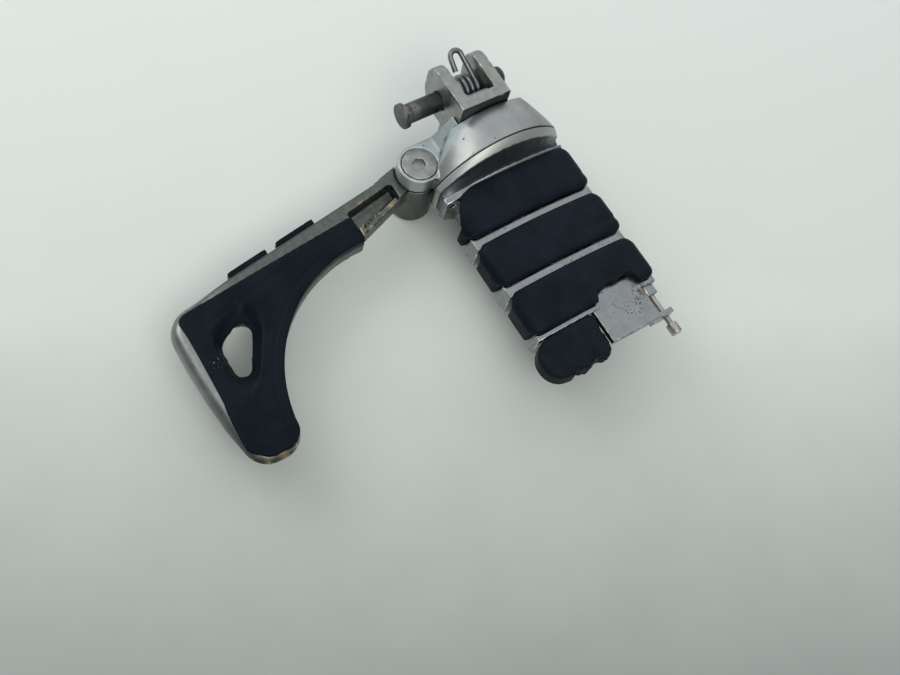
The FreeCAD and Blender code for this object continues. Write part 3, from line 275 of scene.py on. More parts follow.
class Finish:
    """A material with a few helpers for its nodes."""

    def __init__(self, name, colour, metallic, roughness):
        self.material = bpy.data.materials.new(name)
        self.material.use_nodes = True
        self.tree = self.material.node_tree
        self.shader = self.tree.nodes["Principled BSDF"]
        self.shader.inputs["Base Color"].default_value = (*colour, 1.0)
        self.shader.inputs["Metallic"].default_value = metallic
        self.shader.inputs["Roughness"].default_value = roughness
        self.place = self.tree.nodes.new("ShaderNodeTexCoord").outputs["Object"]

    def effect(self, name, **values):
        """The result of a shared effect with these values."""
        step = self.tree.nodes.new("ShaderNodeGroup")
        step.node_tree = EFFECTS[name]
        self.tree.links.new(self.place, step.inputs["Place"])
        for label, value in values.items():
            step.inputs[label].default_value = value
        return step.outputs[0]

    def _set(self, socket, value):
        """Links or sets a socket."""
        if isinstance(value, bpy.types.NodeSocket):
            self.tree.links.new(value, socket)
        elif isinstance(value, tuple):
            socket.default_value = (*value, 1.0)
        else:
            socket.default_value = value

    def mix(self, mask, low, high):
        """Two colours or numbers, blended by a mask."""
        step = self.tree.nodes.new("ShaderNodeMix")
        coloured = any(isinstance(side, tuple) or getattr(side, "type", "") == "RGBA"
                       for side in (low, high))
        step.data_type = "RGBA" if coloured else "FLOAT"
        first, second, out = MIX_COLOURS if coloured else MIX_NUMBERS
        self._set(step.inputs[0], mask)
        self._set(step.inputs[first], low)
        self._set(step.inputs[second], high)
        return step.outputs[out]

    def maths(self, operation, first, second):
        """A sum on two numbers, kept between 0 and 1."""
        step = self.tree.nodes.new("ShaderNodeMath")
        step.operation = operation
        step.use_clamp = True
        self._set(step.inputs[0], first)
        self._set(step.inputs[1], second)
        return step.outputs[0]

    def toward(self, direction, start, finish):
        """A ramp from 0 to 1 between two distances in a direction, in mm."""
        step = self.tree.nodes.new("ShaderNodeVectorMath")
        step.operation = "DOT_PRODUCT"
        self.tree.links.new(self.place, step.inputs[0])
        step.inputs[1].default_value = direction
        return ranged(self.tree, step.outputs["Value"], start * MM, finish * MM, 0.0, 1.0)

    def near(self, spot, inner, outer):
        """A mask that fades from 1 to 0 between two distances from a spot, in mm."""
        step = self.tree.nodes.new("ShaderNodeVectorMath")
        step.operation = "DISTANCE"
        self.tree.links.new(self.place, step.inputs[0])
        step.inputs[1].default_value = Vector(spot) * MM
        return ranged(self.tree, step.outputs["Value"], inner * MM, outer * MM, 1.0, 0.0)

    def feed(self, label, value):
        """Plugs a value into the shader."""
        self._set(self.shader.inputs[label], value)

    def bump(self, height, strength, distance):
        """Raises the surface a little by a height."""
        step = self.tree.nodes.new("ShaderNodeBump")
        step.inputs["Strength"].default_value = strength
        step.inputs["Distance"].default_value = distance
        self.tree.links.new(height, step.inputs["Height"])
        self.tree.links.new(step.outputs["Normal"], self.shader.inputs["Normal"])


# %% [markdown]
# The table's tone is painted light falloff: painted pale far from the viewer and shaded grey near, as a ramp
# in two parts along that way.

# %% Table finish
TABLE_FAR_LIT = (0.83, 0.87, 0.84)
TABLE_MIDDLE = (0.73, 0.775, 0.74)
TABLE_NEAR_SHADED = (0.32, 0.348, 0.333)
TABLE_WAY = (-0.888, 0.46, 0.0)
NEAR_RAMP = (-240.0, -80.0)
FAR_RAMP = (-100.0, 90.0)
table_finish = Finish("table_paper", TABLE_FAR_LIT, metallic=0.0, roughness=0.8)
table_shade = table_finish.maths("ADD", table_finish.toward(TABLE_WAY, *NEAR_RAMP),
                                 table_finish.effect("mottle", Scale=14.0, Low=-0.04, High=0.04))
table_painted_falloff = table_finish.mix(table_shade, TABLE_NEAR_SHADED, TABLE_MIDDLE)
table_painted_falloff = table_finish.mix(table_finish.toward(TABLE_WAY, *FAR_RAMP), table_painted_falloff, TABLE_FAR_LIT)
table_finish.feed("Base Color", table_painted_falloff)
floor_mesh.materials.append(table_finish.material)
print("the table fades along", TABLE_WAY)

# %% [markdown]
# Chrome on a used part is bright, but its gloss wanders, and where the plating is eaten there are clusters
# of dark pits. Rubbed edges show another tone, and the hollows are darkened by grime and painted shade. Two
# castings have this finish, so one function builds it and hands back its tone, which each casting then works
# further.

# %% Worn chrome
PIT_AND_SHADE_BROWN = (0.040, 0.034, 0.030)
DIRT_AND_SHADE = (0.030, 0.029, 0.027)
BRASSY = (0.40, 0.33, 0.20)
PALE_METAL = (0.70, 0.71, 0.70)
ALONG = (1.0, 0.0, 0.0)
BACK = (-1.0, 0.0, 0.0)
ACROSS = (0.0, 1.0, 0.0)
ASIDE = (0.0, -1.0, 0.0)
UP = (0.0, 0.0, 1.0)
DOWN = (0.0, 0.0, -1.0)


def shaded(colour, share):
    """A colour made darker or lighter."""
    return tuple(part * share for part in colour)


def worn_chrome(name, colour, gloss, pits, wear, pitted_way, pitted_from):
    """Plating with clusters of pits past a line, rubbed edges, and grime with painted shade in the hollows;
    gives the finish and its tone.
    """
    finish = Finish(name, colour, metallic=1.0, roughness=gloss)
    eaten = finish.maths("MULTIPLY", finish.effect("mottle", Scale=75.0, Low=-1.3, High=1.0),
                         finish.toward(pitted_way, *pitted_from))
    pit_mask = finish.effect("specks", Scale=1100.0, Cover=pits, Softness=0.05)
    pit_mask = finish.maths("MULTIPLY", pit_mask, eaten)
    edge_mask = finish.effect("edge_wear", Scale=420.0, Amount=wear)
    # Grime and painted shade darken the hollows.
    dirt_and_shade_mask = finish.effect("dirt_and_shade", Scale=300.0, Amount=0.45)
    cloud = finish.effect("mottle", Scale=230.0)
    tone = finish.mix(cloud, shaded(colour, 0.86), colour)
    tone = finish.mix(edge_mask, tone, PALE_METAL)
    tone = finish.mix(dirt_and_shade_mask, tone, DIRT_AND_SHADE)
    dull = finish.maths("MAXIMUM", pit_mask, dirt_and_shade_mask)
    smooth = finish.effect("mottle", Scale=120.0, Low=gloss - 0.06, High=gloss + 0.08)
    finish.feed("Roughness", finish.mix(dull, smooth, 0.6))
    finish.bump(finish.maths("SUBTRACT", 1.0, pit_mask), strength=0.25, distance=0.2 * MM)
    return finish, finish.mix(pit_mask, tone, PIT_AND_SHADE_BROWN)


# %% [markdown]
# The peg's shoulder has a satin bead with a cove behind it, both found by how far out they lie. The bead gets
# a painted sheen and the cove gets painted shade. A spot of rust sits on one corner of the end plate, where
# the rubber tore off.

# %% Peg finish
PEG_GREY = (0.31, 0.325, 0.33)
RUST = (0.115, 0.062, 0.033)
RUST_SPOT = (105.5, 17.5, -7.0)
COVE_START = (33.0, 33.5)
COVE_FINISH = (-35.9, -35.4)
COVE_PAINTED_SHADE = (0.19, 0.215, 0.23)
BEAD_PAINTED_SHEEN = (0.52, 0.53, 0.51)
BEAD_FINISH = (-33.1, -32.7)
SATIN_FINISH = (-38.6, -36.2)
SATIN_GLOSS = 0.46


def peg_chrome():
    """The peg: pitted ribs, satin bead with painted sheen, painted shade in the cove and one spot of rust."""
    finish, tone = worn_chrome("peg_chrome", PEG_GREY, gloss=0.20, pits=0.312, wear=0.30,
                               pitted_way=ALONG, pitted_from=(40.0, 60.0))
    rust = finish.maths("MULTIPLY", finish.near(RUST_SPOT, inner=1.0, outer=5.0),
                        finish.effect("specks", Scale=420.0, Cover=0.44, Softness=0.1))
    cove = finish.maths("MULTIPLY", finish.toward(ALONG, *COVE_START), finish.toward(BACK, *COVE_FINISH))
    # Painted shade in the cove; next, a painted sheen on the bead.
    tone = finish.mix(cove, tone, COVE_PAINTED_SHADE)
    tone = finish.mix(finish.toward(BACK, *BEAD_FINISH), tone, BEAD_PAINTED_SHEEN)
    finish.feed("Base Color", finish.mix(rust, tone, RUST))
    finish.feed("Metallic", finish.mix(rust, 1.0, 0.3))
    gloss = finish.shader.inputs["Roughness"].links[0].from_socket
    finish.feed("Roughness", finish.mix(finish.toward(BACK, *SATIN_FINISH), gloss, SATIN_GLOSS))
    return finish.material


# %% [markdown]
# The heel rest is satin on its rolled foot and a dull grey-green on the long rail. Boots wore the plating
# down to a brassy tone at the tip and on the neck's rails, and the tip's underside gets painted shade.

# %% Heel rest finish
REST_GREY = (0.29, 0.30, 0.29)
RAIL_DARK = (0.105, 0.12, 0.110)
RAIL_PALE = (0.14, 0.158, 0.146)
RAIL_START = (-136.0, -118.0)
TIP_PAINTED_SHADE = (0.09, 0.088, 0.08)
TIP_RUN = (62.0, 92.0)
TIP_BELOW = (12.6, 14.0)
TIP_SPOT = (96.0, -134.0, -14.5)
NECK_SPOT = (30.0, -55.0, -13.0)


def rest_chrome():
    """The heel rest: satin foot, dull rail, brassy tip and neck, and painted shade under the tip."""
    finish, tone = worn_chrome("rest_chrome", REST_GREY, gloss=0.36, pits=0.33, wear=0.22,
                               pitted_way=ASIDE, pitted_from=(100.0, 130.0))
    at_tip = finish.maths("MULTIPLY", finish.near(TIP_SPOT, inner=7.0, outer=13.0),
                          finish.effect("mottle", Scale=380.0, Low=-0.4))
    at_neck = finish.maths("MULTIPLY", finish.near(NECK_SPOT, inner=9.0, outer=15.0),
                           finish.effect("edge_wear", Scale=330.0, Amount=0.5))
    brass = finish.maths("MAXIMUM", at_tip, at_neck)
    rail_tone = finish.mix(finish.effect("mottle", Scale=520.0), RAIL_DARK, RAIL_PALE)
    tone = finish.mix(finish.toward(ACROSS, *RAIL_START), tone, rail_tone)
    # Painted shade on the tip's underside, towards the table.
    under_tip_shade = finish.maths("MULTIPLY", finish.toward(ALONG, *TIP_RUN), finish.toward(DOWN, *TIP_BELOW))
    tone = finish.mix(under_tip_shade, tone, TIP_PAINTED_SHADE)
    finish.feed("Base Color", finish.mix(brass, tone, BRASSY))
    return finish.material


# %% [markdown]
# The bracket is polished on its dome and left matte on its arm. The line between the two runs across
# the casting at a slant, so one ramp in that direction fades from the one finish to the other.

# %% Bracket finish
DOME_BRIGHT = (0.385, 0.395, 0.395)
ARM_MATTE = (0.40, 0.46, 0.47)
ARM_PALE = (0.48, 0.54, 0.55)
ARM_RUBBED = (0.60, 0.61, 0.60)
ARM_METAL = 0.55
DOME_WAY = (0.917, 0.398, 0.0)
DOME_START = (11.6, 12.3)
SEAM_SHADE_LINE = (29.55, 29.85)


def dome_and_arm():
    """Polished on the dome, matte blue-grey on the arm."""
    finish = Finish("bracket_chrome", DOME_BRIGHT, metallic=1.0, roughness=0.3)
    polished = finish.toward(DOME_WAY, *DOME_START)
    arm_tone = finish.mix(finish.effect("mottle", Scale=210.0), ARM_MATTE, ARM_PALE)
    dome_tone = finish.mix(finish.effect("mottle", Scale=160.0), shaded(DOME_BRIGHT, 0.9), DOME_BRIGHT)
    tone = finish.mix(polished, arm_tone, dome_tone)
    rubbed = finish.maths("SUBTRACT", finish.effect("edge_wear", Scale=600.0, Amount=0.34), polished)
    tone = finish.mix(rubbed, tone, ARM_RUBBED)
    nicks = finish.effect("specks", Scale=380.0, Cover=0.25, Softness=0.04)
    # A thin line of painted shade along the seam with the peg, in the pits' brown, together with the nicks.
    seam_shade = finish.toward(ALONG, *SEAM_SHADE_LINE)
    tone = finish.mix(finish.maths("MAXIMUM", nicks, seam_shade), tone, PIT_AND_SHADE_BROWN)
    # Grime and painted shade darken the hollows.
    finish.feed("Base Color", finish.mix(finish.effect("dirt_and_shade", Scale=300.0, Amount=0.6), tone, DIRT_AND_SHADE))
    finish.feed("Metallic", finish.mix(polished, ARM_METAL, 1.0))
    bright = finish.effect("mottle", Scale=140.0, Low=0.35, High=0.42)
    satin = finish.effect("mottle", Scale=300.0, Low=0.46, High=0.58)
    finish.feed("Roughness", finish.mix(polished, satin, bright))
    grain = finish.effect("specks", Scale=1300.0, Cover=0.4, Softness=0.2)
    finish.bump(grain, strength=0.02, distance=0.1 * MM)
    return finish.material


# %% [markdown]
# Plain steel pieces share a simpler finish: cloudy grey, rubbed edges, grime with painted shade in the
# hollows, and fine scratches. The pin has one spot that is rubbed bare. The clevis is the same steel with
# painted shade on its front and a brassy strip.

# %% Steel finishes
CLEVIS_GREY = (0.37, 0.385, 0.375)
CLEVIS_RUBBED = (0.68, 0.68, 0.65)
CLEVIS_SHADED_FRONT = (14.2, 14.7)
FRONT_PAINTED_SHADE = (0.05, 0.052, 0.055)
STRIP_SIDES = ((ACROSS, 5.6, 6.2), (ASIDE, -8.2, -7.2), (UP, 10.8, 12.0))
PIN_SPOT = (1.0, -26.0, 4.0)


def plain_steel(name, colour, wear_colour, roughness, wear, worn_spot=None):
    """Grey steel with a cloudy tone, rubbed edges, fine scratches and perhaps one worn spot."""
    finish = Finish(name, colour, metallic=0.92, roughness=roughness)
    cloud = finish.effect("mottle", Scale=240.0)
    tone = finish.mix(cloud, shaded(colour, 0.72), colour)
    tone = finish.mix(finish.effect("edge_wear", Scale=500.0, Amount=wear), tone, wear_colour)
    if worn_spot is not None:
        patch = finish.maths("MULTIPLY", finish.near(worn_spot, inner=2.0, outer=6.5),
                             finish.effect("mottle", Scale=420.0))
        tone = finish.mix(patch, tone, wear_colour)
    # Grime and painted shade darken the hollows.
    finish.feed("Base Color", finish.mix(finish.effect("dirt_and_shade", Scale=350.0, Amount=0.7), tone, DIRT_AND_SHADE))
    finish.feed("Roughness", finish.effect("mottle", Scale=260.0, Low=roughness - 0.07, High=roughness + 0.1))
    finish.bump(finish.effect("streaks", Scale=900.0, Stretch=0.08), strength=0.08, distance=0.1 * MM)
    return finish


def clevis_plating():
    """Grey plating with painted shade on its front, and a brassy strip where the slot's right edge is worn.
    """
    finish = plain_steel("clevis_plating", CLEVIS_GREY, CLEVIS_RUBBED, roughness=0.36, wear=0.40)
    tone = finish.shader.inputs["Base Color"].links[0].from_socket
    # Painted shade on the front face, which faces the dome.
    tone = finish.mix(finish.toward(ALONG, *CLEVIS_SHADED_FRONT), tone, FRONT_PAINTED_SHADE)
    strip = 1.0
    for way, begin, full in STRIP_SIDES:
        strip = finish.maths("MULTIPLY", strip, finish.toward(way, begin, full))
    brass = finish.maths("MULTIPLY", strip, finish.effect("mottle", Scale=420.0, Low=-0.5, High=1.0))
    finish.feed("Base Color", finish.mix(brass, tone, BRASSY))
    return finish.material


# Each row: the finish's name, its colour, its rubbed colour, roughness, wear and perhaps a worn spot
STEELS = {
    "pin": ("oily_steel", (0.085, 0.088, 0.09), (0.27, 0.265, 0.25), 0.40, 0.34, PIN_SPOT),
    "spring": ("spring_steel", (0.27, 0.28, 0.295), (0.5, 0.5, 0.5), 0.36, 0.2),
    "clip": ("clip_steel", (0.20, 0.20, 0.21), (0.5, 0.5, 0.5), 0.4, 0.4),
    "screw": ("fastener_steel", (0.40, 0.40, 0.395), (0.62, 0.62, 0.6), 0.48, 0.36),
    "rod": ("rod_steel", (0.50, 0.49, 0.46), (0.62, 0.6, 0.55), 0.28, 0.35),
    "bush": ("bush_bronze", (0.50, 0.34, 0.15), (0.62, 0.46, 0.22), 0.35, 0.3),
}
metal = {"peg": peg_chrome(), "rest": rest_chrome(), "bracket": dome_and_arm(), "clevis": clevis_plating()}
for steel, values in STEELS.items():
    metal[steel] = plain_steel(*values).material
print("metal finishes:", len(metal))

# %% [markdown]
# Rubber is nearly black with a faint blue cast. It never shines evenly: handled patches are smoother,
# edges go grey, and dust stays in the grain. The heel inlay is cleaner than the tread, with one scuffed
# spot on its border.

# %% Rubber finishes
RUBBER_SHINE = 0.10
RUBBER_CAST = (0.65, 0.82, 1.0, 1.0)
SCUFF_SPOT = (55.5, -138.1, -12.0)
SCUFF_GREY = (0.30, 0.31, 0.31)


def old_rubber(name, colour, scuff_colour, roughness, scuffs):
    """Black rubber with grain, cloudy sheen and grey scuffs on its edges."""
    finish = Finish(name, colour, metallic=0.0, roughness=roughness)
    edge_mask = finish.effect("edge_wear", Scale=650.0, Amount=scuffs)
    dust = finish.effect("specks", Scale=1500.0, Cover=0.27, Softness=0.05)
    tone = finish.mix(finish.effect("mottle", Scale=80.0), colour, shaded(colour, 1.8))
    tone = finish.mix(edge_mask, tone, scuff_colour)
    tone = finish.mix(dust, tone, shaded(colour, 4.0))
    scuff = finish.maths("MULTIPLY", finish.near(SCUFF_SPOT, inner=0.4, outer=2.8),
                         finish.effect("specks", Scale=1100.0, Cover=0.36, Softness=0.03))
    finish.feed("Base Color", finish.mix(scuff, tone, SCUFF_GREY))
    finish.feed("Roughness", finish.effect("mottle", Scale=110.0, Low=roughness - 0.08, High=roughness + 0.1))
    grain = finish.effect("specks", Scale=2400.0, Cover=0.45, Softness=0.25)
    finish.bump(grain, strength=0.16, distance=0.15 * MM)
    finish.shader.inputs["Specular IOR Level"].default_value = RUBBER_SHINE
    finish.shader.inputs["Specular Tint"].default_value = RUBBER_CAST
    return finish.material


rubber = {
    "tread": old_rubber("tread_rubber", (0.0052, 0.0074, 0.0106), scuff_colour=(0.016, 0.019, 0.023),
                        roughness=0.46, scuffs=0.24),
    "rest": old_rubber("rest_rubber", (0.0036, 0.0060, 0.0086), scuff_colour=(0.013, 0.016, 0.020),
                       roughness=0.40, scuffs=0.20),
}
print("rubber finishes:", len(rubber))

# %% [markdown]
# The CAD solids have knife edges. Real castings and mouldings do not: their edges are rounded by the
# mould, the polisher and years of boots. So most pieces get a mesh of their own that stands for the CAD
# piece. `new_piece` gives it a material, the body that it rides on and the node it replaces.

# %% Helpers for pieces
MERGE_GAP = 0.002 * MM


def new_piece(name, mesh, body, material, node):
    """A finished piece: material, body and the CAD node that it stands for."""
    piece = bpy.data.objects.new(name, mesh)
    scene.collection.objects.link(piece)
    mesh.materials.clear()
    mesh.materials.append(material)
    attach(piece, body)
    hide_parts(node)
    print(name, "stands for", node, "with", len(mesh.polygons), "faces")


def evaluated_mesh(holder):
    """The mesh of an object with its modifiers worked in."""
    graph = bpy.context.evaluated_depsgraph_get()
    return bpy.data.meshes.new_from_object(holder.evaluated_get(graph))


def smoothed(mesh):
    """The same mesh with every face shaded smooth."""
    for polygon in mesh.polygons:
        polygon.use_smooth = True
    return mesh


def read_places(mesh):
    """A mesh's vertices as an array."""
    places = np.zeros(len(mesh.vertices) * 3)
    mesh.vertices.foreach_get("co", places)
    return places.reshape(-1, 3)


def merged_copy(node):
    """A copy of a CAD node whose loose triangles share their corners."""
    mesh = nodes[node].data.copy()
    work = bmesh.new()
    work.from_mesh(mesh)
    bmesh.ops.remove_doubles(work, verts=work.verts, dist=MERGE_GAP)
    work.to_mesh(mesh)
    work.free()
    return mesh


# %% [markdown]
# Wear sits on edges, and grime with painted shade in hollows, so a mesh has to know where those are. Along
# each of its edges, the turn of the normals says how sharply the surface bends there. Every vertex takes the
# mean of its edges, which is then spread over its neighbours. The result is kept as two attributes, `edge`
# and
# `hollow`, that the wear and the dirt-and-shade effects read.

# %% Edge marks
SPREAD_ROUNDS = 3
TINY = 1e-9
CASTING_REACH = 0.28
RUBBER_REACH = 0.5


def mark_edges(mesh, reach):
    """Stores how far each vertex sticks out of its neighbours, or lies in, from 0 to 1."""
    places = read_places(mesh)
    count = len(places)
    normals = np.zeros(count * 3)
    mesh.vertices.foreach_get("normal", normals)
    normals = normals.reshape(-1, 3)
    pairs = np.zeros(len(mesh.edges) * 2, int)
    mesh.edges.foreach_get("vertices", pairs)
    first, second = pairs.reshape(-1, 2).T
    gap = places[second] - places[first]
    length = np.linalg.norm(gap, axis=1) + TINY
    turn = np.einsum("ij,ij->i", normals[second] - normals[first], gap) / length
    bend = np.zeros(count)
    share = np.zeros(count)
    for ends in (first, second):
        np.add.at(bend, ends, turn)
        np.add.at(share, ends, 1.0)
    bend /= np.maximum(share, 1.0)
    for _ in range(SPREAD_ROUNDS):
        total = bend.copy()
        weight = np.ones(count)
        for ends, others in ((first, second), (second, first)):
            np.add.at(total, ends, bend[others])
            np.add.at(weight, ends, 1.0)
        bend = total / weight
    for name, amount in (("edge", bend), ("hollow", -bend)):
        attribute = mesh.attributes.new(name, "FLOAT", "POINT")
        attribute.data.foreach_set("value", np.clip(amount / reach, 0.0, 1.0).astype(np.float32))


# %% [markdown]
# A casting starts as a copy of its CAD piece. The copy is remeshed into small even faces and relaxed,
# which rounds every edge a little. A shape function can then move its vertices, for forms that are softer
# than the CAD's.

# %% Castings with eased edges
RELAX_SHARE = 0.5


def even_faces(mesh, voxel, rounds):
    """A mesh as small even faces, relaxed a few times."""
    holder = bpy.data.objects.new("holder", mesh)
    scene.collection.objects.link(holder)
    step = holder.modifiers.new("even_faces", "REMESH")
    step.mode = "VOXEL"
    step.voxel_size = voxel
    relax = holder.modifiers.new("relax", "SMOOTH")
    relax.factor = RELAX_SHARE
    relax.iterations = rounds
    result = evaluated_mesh(holder)
    bpy.data.objects.remove(holder)
    return smoothed(result)


def casting(node, name, body, material, voxel, rounds=4, shape=None):
    """A casting with eased edges that stands for a CAD node."""
    mesh = even_faces(merged_copy(node), voxel, rounds)
    if shape is not None:
        shape(mesh)
    mark_edges(mesh, CASTING_REACH)
    new_piece(name, mesh, body, material, node)


# %% [markdown]
# The heel rest's outer line in plan is a straight wall, a rounded corner, a foot that bulges a little and
# a rounded tip. The casting and its inlay both follow it, so it is worked out once, as a chain of places.

# %% Heel rest's rim
PIVOT = Vector((18.9, -30.8)) * MM
WALL_START = PIVOT + Vector((-3.0, -19.0)) * MM
FOOT_CORNER = PIVOT + Vector((12.9, -116.5)) * MM
TIP_CORNER = PIVOT + Vector((78.6, -112.5)) * MM
TIP_INNER = PIVOT + Vector((78.6, -92.9)) * MM
FOOT_BULGE = 2.0 * MM
FOOT_ROUND = 11.0 * MM
TIP_ROUND = 9.0 * MM
FOOT_STEPS = 20
FOOT_RUN = range(5, 17)
FOOT_NEAR = 0.18
FOOT_FAR = 0.86


def rounded_corner(before, corner, after, radius, steps=8):
    """Places along the arc that rounds a corner in plan."""
    back = (before - corner).normalized()
    ahead = (after - corner).normalized()
    half_angle = back.angle(ahead) / 2
    centre = corner + (back + ahead).normalized() * (radius / math.sin(half_angle))
    first = corner + back * (radius / math.tan(half_angle)) - centre
    last = corner + ahead * (radius / math.tan(half_angle)) - centre
    return [centre + first.slerp(last, step / steps).normalized() * radius for step in range(steps + 1)]


def foot_place(share):
    """A place on the foot's bulged edge."""
    return FOOT_CORNER.lerp(TIP_CORNER, share) - Vector((0.0, FOOT_BULGE * 4.0 * share * (1.0 - share)))


def rest_rim():
    """The outer line of the heel rest in plan, from the neck round to the tip."""
    line = [WALL_START]
    line += rounded_corner(WALL_START, FOOT_CORNER, foot_place(FOOT_NEAR), FOOT_ROUND)
    line += [foot_place(step / FOOT_STEPS) for step in FOOT_RUN]
    line += rounded_corner(foot_place(FOOT_FAR), TIP_CORNER, TIP_INNER, TIP_ROUND)
    return line + [TIP_INNER]


print("the heel rest's rim has", len(rest_rim()), "places")

# %% [markdown]
# Soft forms fade with distance, so three measures are needed for many places at once: how far a place is
# inside the rim, how far it is inside a closed outline, and how far it is from the rounded window. The
# window is a triangle that is shrunk first and then grown by its rounding.

# %% Distances in plan
WINDOW = [Vector(corner) * MM for corner in ((41.6, -116.2), (50.0, -133.7), (73.7, -133.7))]
WINDOW_ROUND = 3.4 * MM


def smooth_step(share):
    """Eases a share from 0 to 1."""
    share = np.clip(share, 0.0, 1.0)
    return share * share * (3.0 - 2.0 * share)


def beside(places, start, finish):
    """A line's run in plan, the places as seen from its start, and how far each is from the line."""
    run = np.array(finish - start)
    offset = places[:, :2] - np.array(start)
    share = np.clip(offset @ run / (run @ run), 0.0, 1.0)
    return run, offset, np.linalg.norm(offset - share[:, None] * run, axis=1)


def gap_inside(places, line):
    """How far inside a chain of places each place is in plan, and the way inwards there."""
    best = np.full(len(places), np.inf)
    gap = np.zeros(len(places))
    inward = np.zeros((len(places), 2))
    for start, finish in zip(line, line[1:]):
        run, offset, away = beside(places, start, finish)
        normal = np.array((-run[1], run[0])) / np.linalg.norm(run)
        closer = away < best
        best[closer] = away[closer]
        gap[closer] = (away * np.sign(offset @ normal))[closer]
        inward[closer] = normal
    return gap, inward


def signed_gap(places, corners):
    """Distance in plan to a closed outline, positive inside."""
    best = np.full(len(places), np.inf)
    inside = np.zeros(len(places), bool)
    for start, finish in zip(corners, corners[1:] + corners[:1]):
        run, offset, away = beside(places, start, finish)
        best = np.minimum(best, away)
        crosses = (places[:, 1] < start.y) != (places[:, 1] < finish.y)
        slope = run[0] / run[1] if run[1] else 0.0
        inside ^= crosses & (offset[:, 0] < offset[:, 1] * slope)
    return np.where(inside, best, -best)


def window_gap(places):
    """Distance in plan from the rounded window's edge, positive outside it."""
    sides = [(WINDOW[index - 2] - WINDOW[index - 1]).length for index in range(3)]
    centre = sum((corner * side for corner, side in zip(WINDOW, sides)), Vector((0, 0))) / sum(sides)
    first, second = WINDOW[1] - WINDOW[0], WINDOW[2] - WINDOW[0]
    inner_radius = abs(first.x * second.y - first.y * second.x) / sum(sides)
    shrink = 1.0 - WINDOW_ROUND / inner_radius
    core = [centre + (corner - centre) * shrink for corner in WINDOW]
    return -signed_gap(places, core) - WINDOW_ROUND


# %% [markdown]
# The heel rest's outer wall and foot are rolled over like a bullnose: any vertex that lies in the square
# corner outside a quarter circle along the rim is drawn in onto the circle. The tip is thinned from below.
# Round the window the metal stands back, because the rubber lines it.

# %% Heel rest casting
REST_TOP = -12.0 * MM
REST_FLOOR = -22.0 * MM
WALL_ROLL = 1.6 * MM
FOOT_ROLL = 4.2 * MM
FOOT_ROLL_START = -118.0 * MM
FOOT_ROLL_LENGTH = 18.0 * MM
ROLL_START = -47.0 * MM
TAPER_START = 62.0 * MM
TAPER_LENGTH = 34.0 * MM
TAPER_LIFT = 6.6 * MM
TAPER_TOP = -12.6 * MM
WINDOW_MIDDLE = np.array((53.0, -127.0)) * MM
METAL_LINE = 1.25 * MM
METAL_BACK = 2.6 * MM
METAL_REACH = 6.0 * MM


def roll_over(mesh):
    """Rounds the upper and lower edges of the outer wall and the foot, and thins the tip from below."""
    places = read_places(mesh)
    lift = TAPER_LIFT * smooth_step((places[:, 0] - TAPER_START) / TAPER_LENGTH)
    places[:, 2] += lift * np.clip((TAPER_TOP - places[:, 2]) / (TAPER_TOP - REST_FLOOR), 0.0, 1.0)
    away = places[:, :2] - WINDOW_MIDDLE
    back = METAL_BACK * smooth_step(1.0 - (window_gap(places) - METAL_LINE) / METAL_REACH)
    places[:, :2] += away / np.linalg.norm(away, axis=1)[:, None] * back[:, None]
    gap, inward = gap_inside(places, rest_rim())
    on_foot = smooth_step((FOOT_ROLL_START - places[:, 1]) / FOOT_ROLL_LENGTH)
    radius = WALL_ROLL + (FOOT_ROLL - WALL_ROLL) * on_foot
    for level, side in ((REST_TOP, 1.0), (REST_FLOOR, -1.0)):
        across = radius - gap
        down = radius - (level - places[:, 2]) * side
        away = np.hypot(across, down)
        pulled = (across > 0) & (down > 0) & (away > radius) & (places[:, 1] < ROLL_START)
        share = (1.0 - radius / np.maximum(away, TINY)) * pulled
        places[:, :2] += (across * share)[:, None] * inward
        places[:, 2] -= down * share * side
    mesh.vertices.foreach_set("co", places.ravel())
    mesh.update()


casting("heel_rest_arm", "heel_rest_casting", "heel_rest", metal["rest"],
        voxel=0.55 * MM, shape=roll_over)

# %% [markdown]
# The bracket and the clevis need no shape function, since their CAD forms are right. The bracket is relaxed
# longer, because the polisher left no flat on its dome.

# %% Bracket and clevis castings
casting("heel_rest_bracket", "bracket_casting", "peg", metal["bracket"],
        voxel=0.38 * MM, rounds=9)
casting("clevis_mount", "clevis_casting", "peg", metal["clevis"], voxel=0.36 * MM)

# %% [markdown]
# The tread pads are moulded saddles that sit on the peg. Their section across the peg goes up one skirt,
# round a corner, over a slightly crowned top and down the other skirt. For each place on it, the place of
# the seat below is known too, so the rubber's thickness lies between the two.

# %% Tread pad section
PEG_MIDDLE = -1.3 * MM
PAD_HALF = 30.2 * MM
PAD_EDGE = -4.9 * MM
PAD_CROWN = 2.0 * MM
PAD_CORNER = 4.2 * MM
SKIRT_END = -15.3 * MM
SEAT_HALF = 23.25 * MM
SEAT_EDGE = -9.65 * MM
SECTION_STEPS = 140


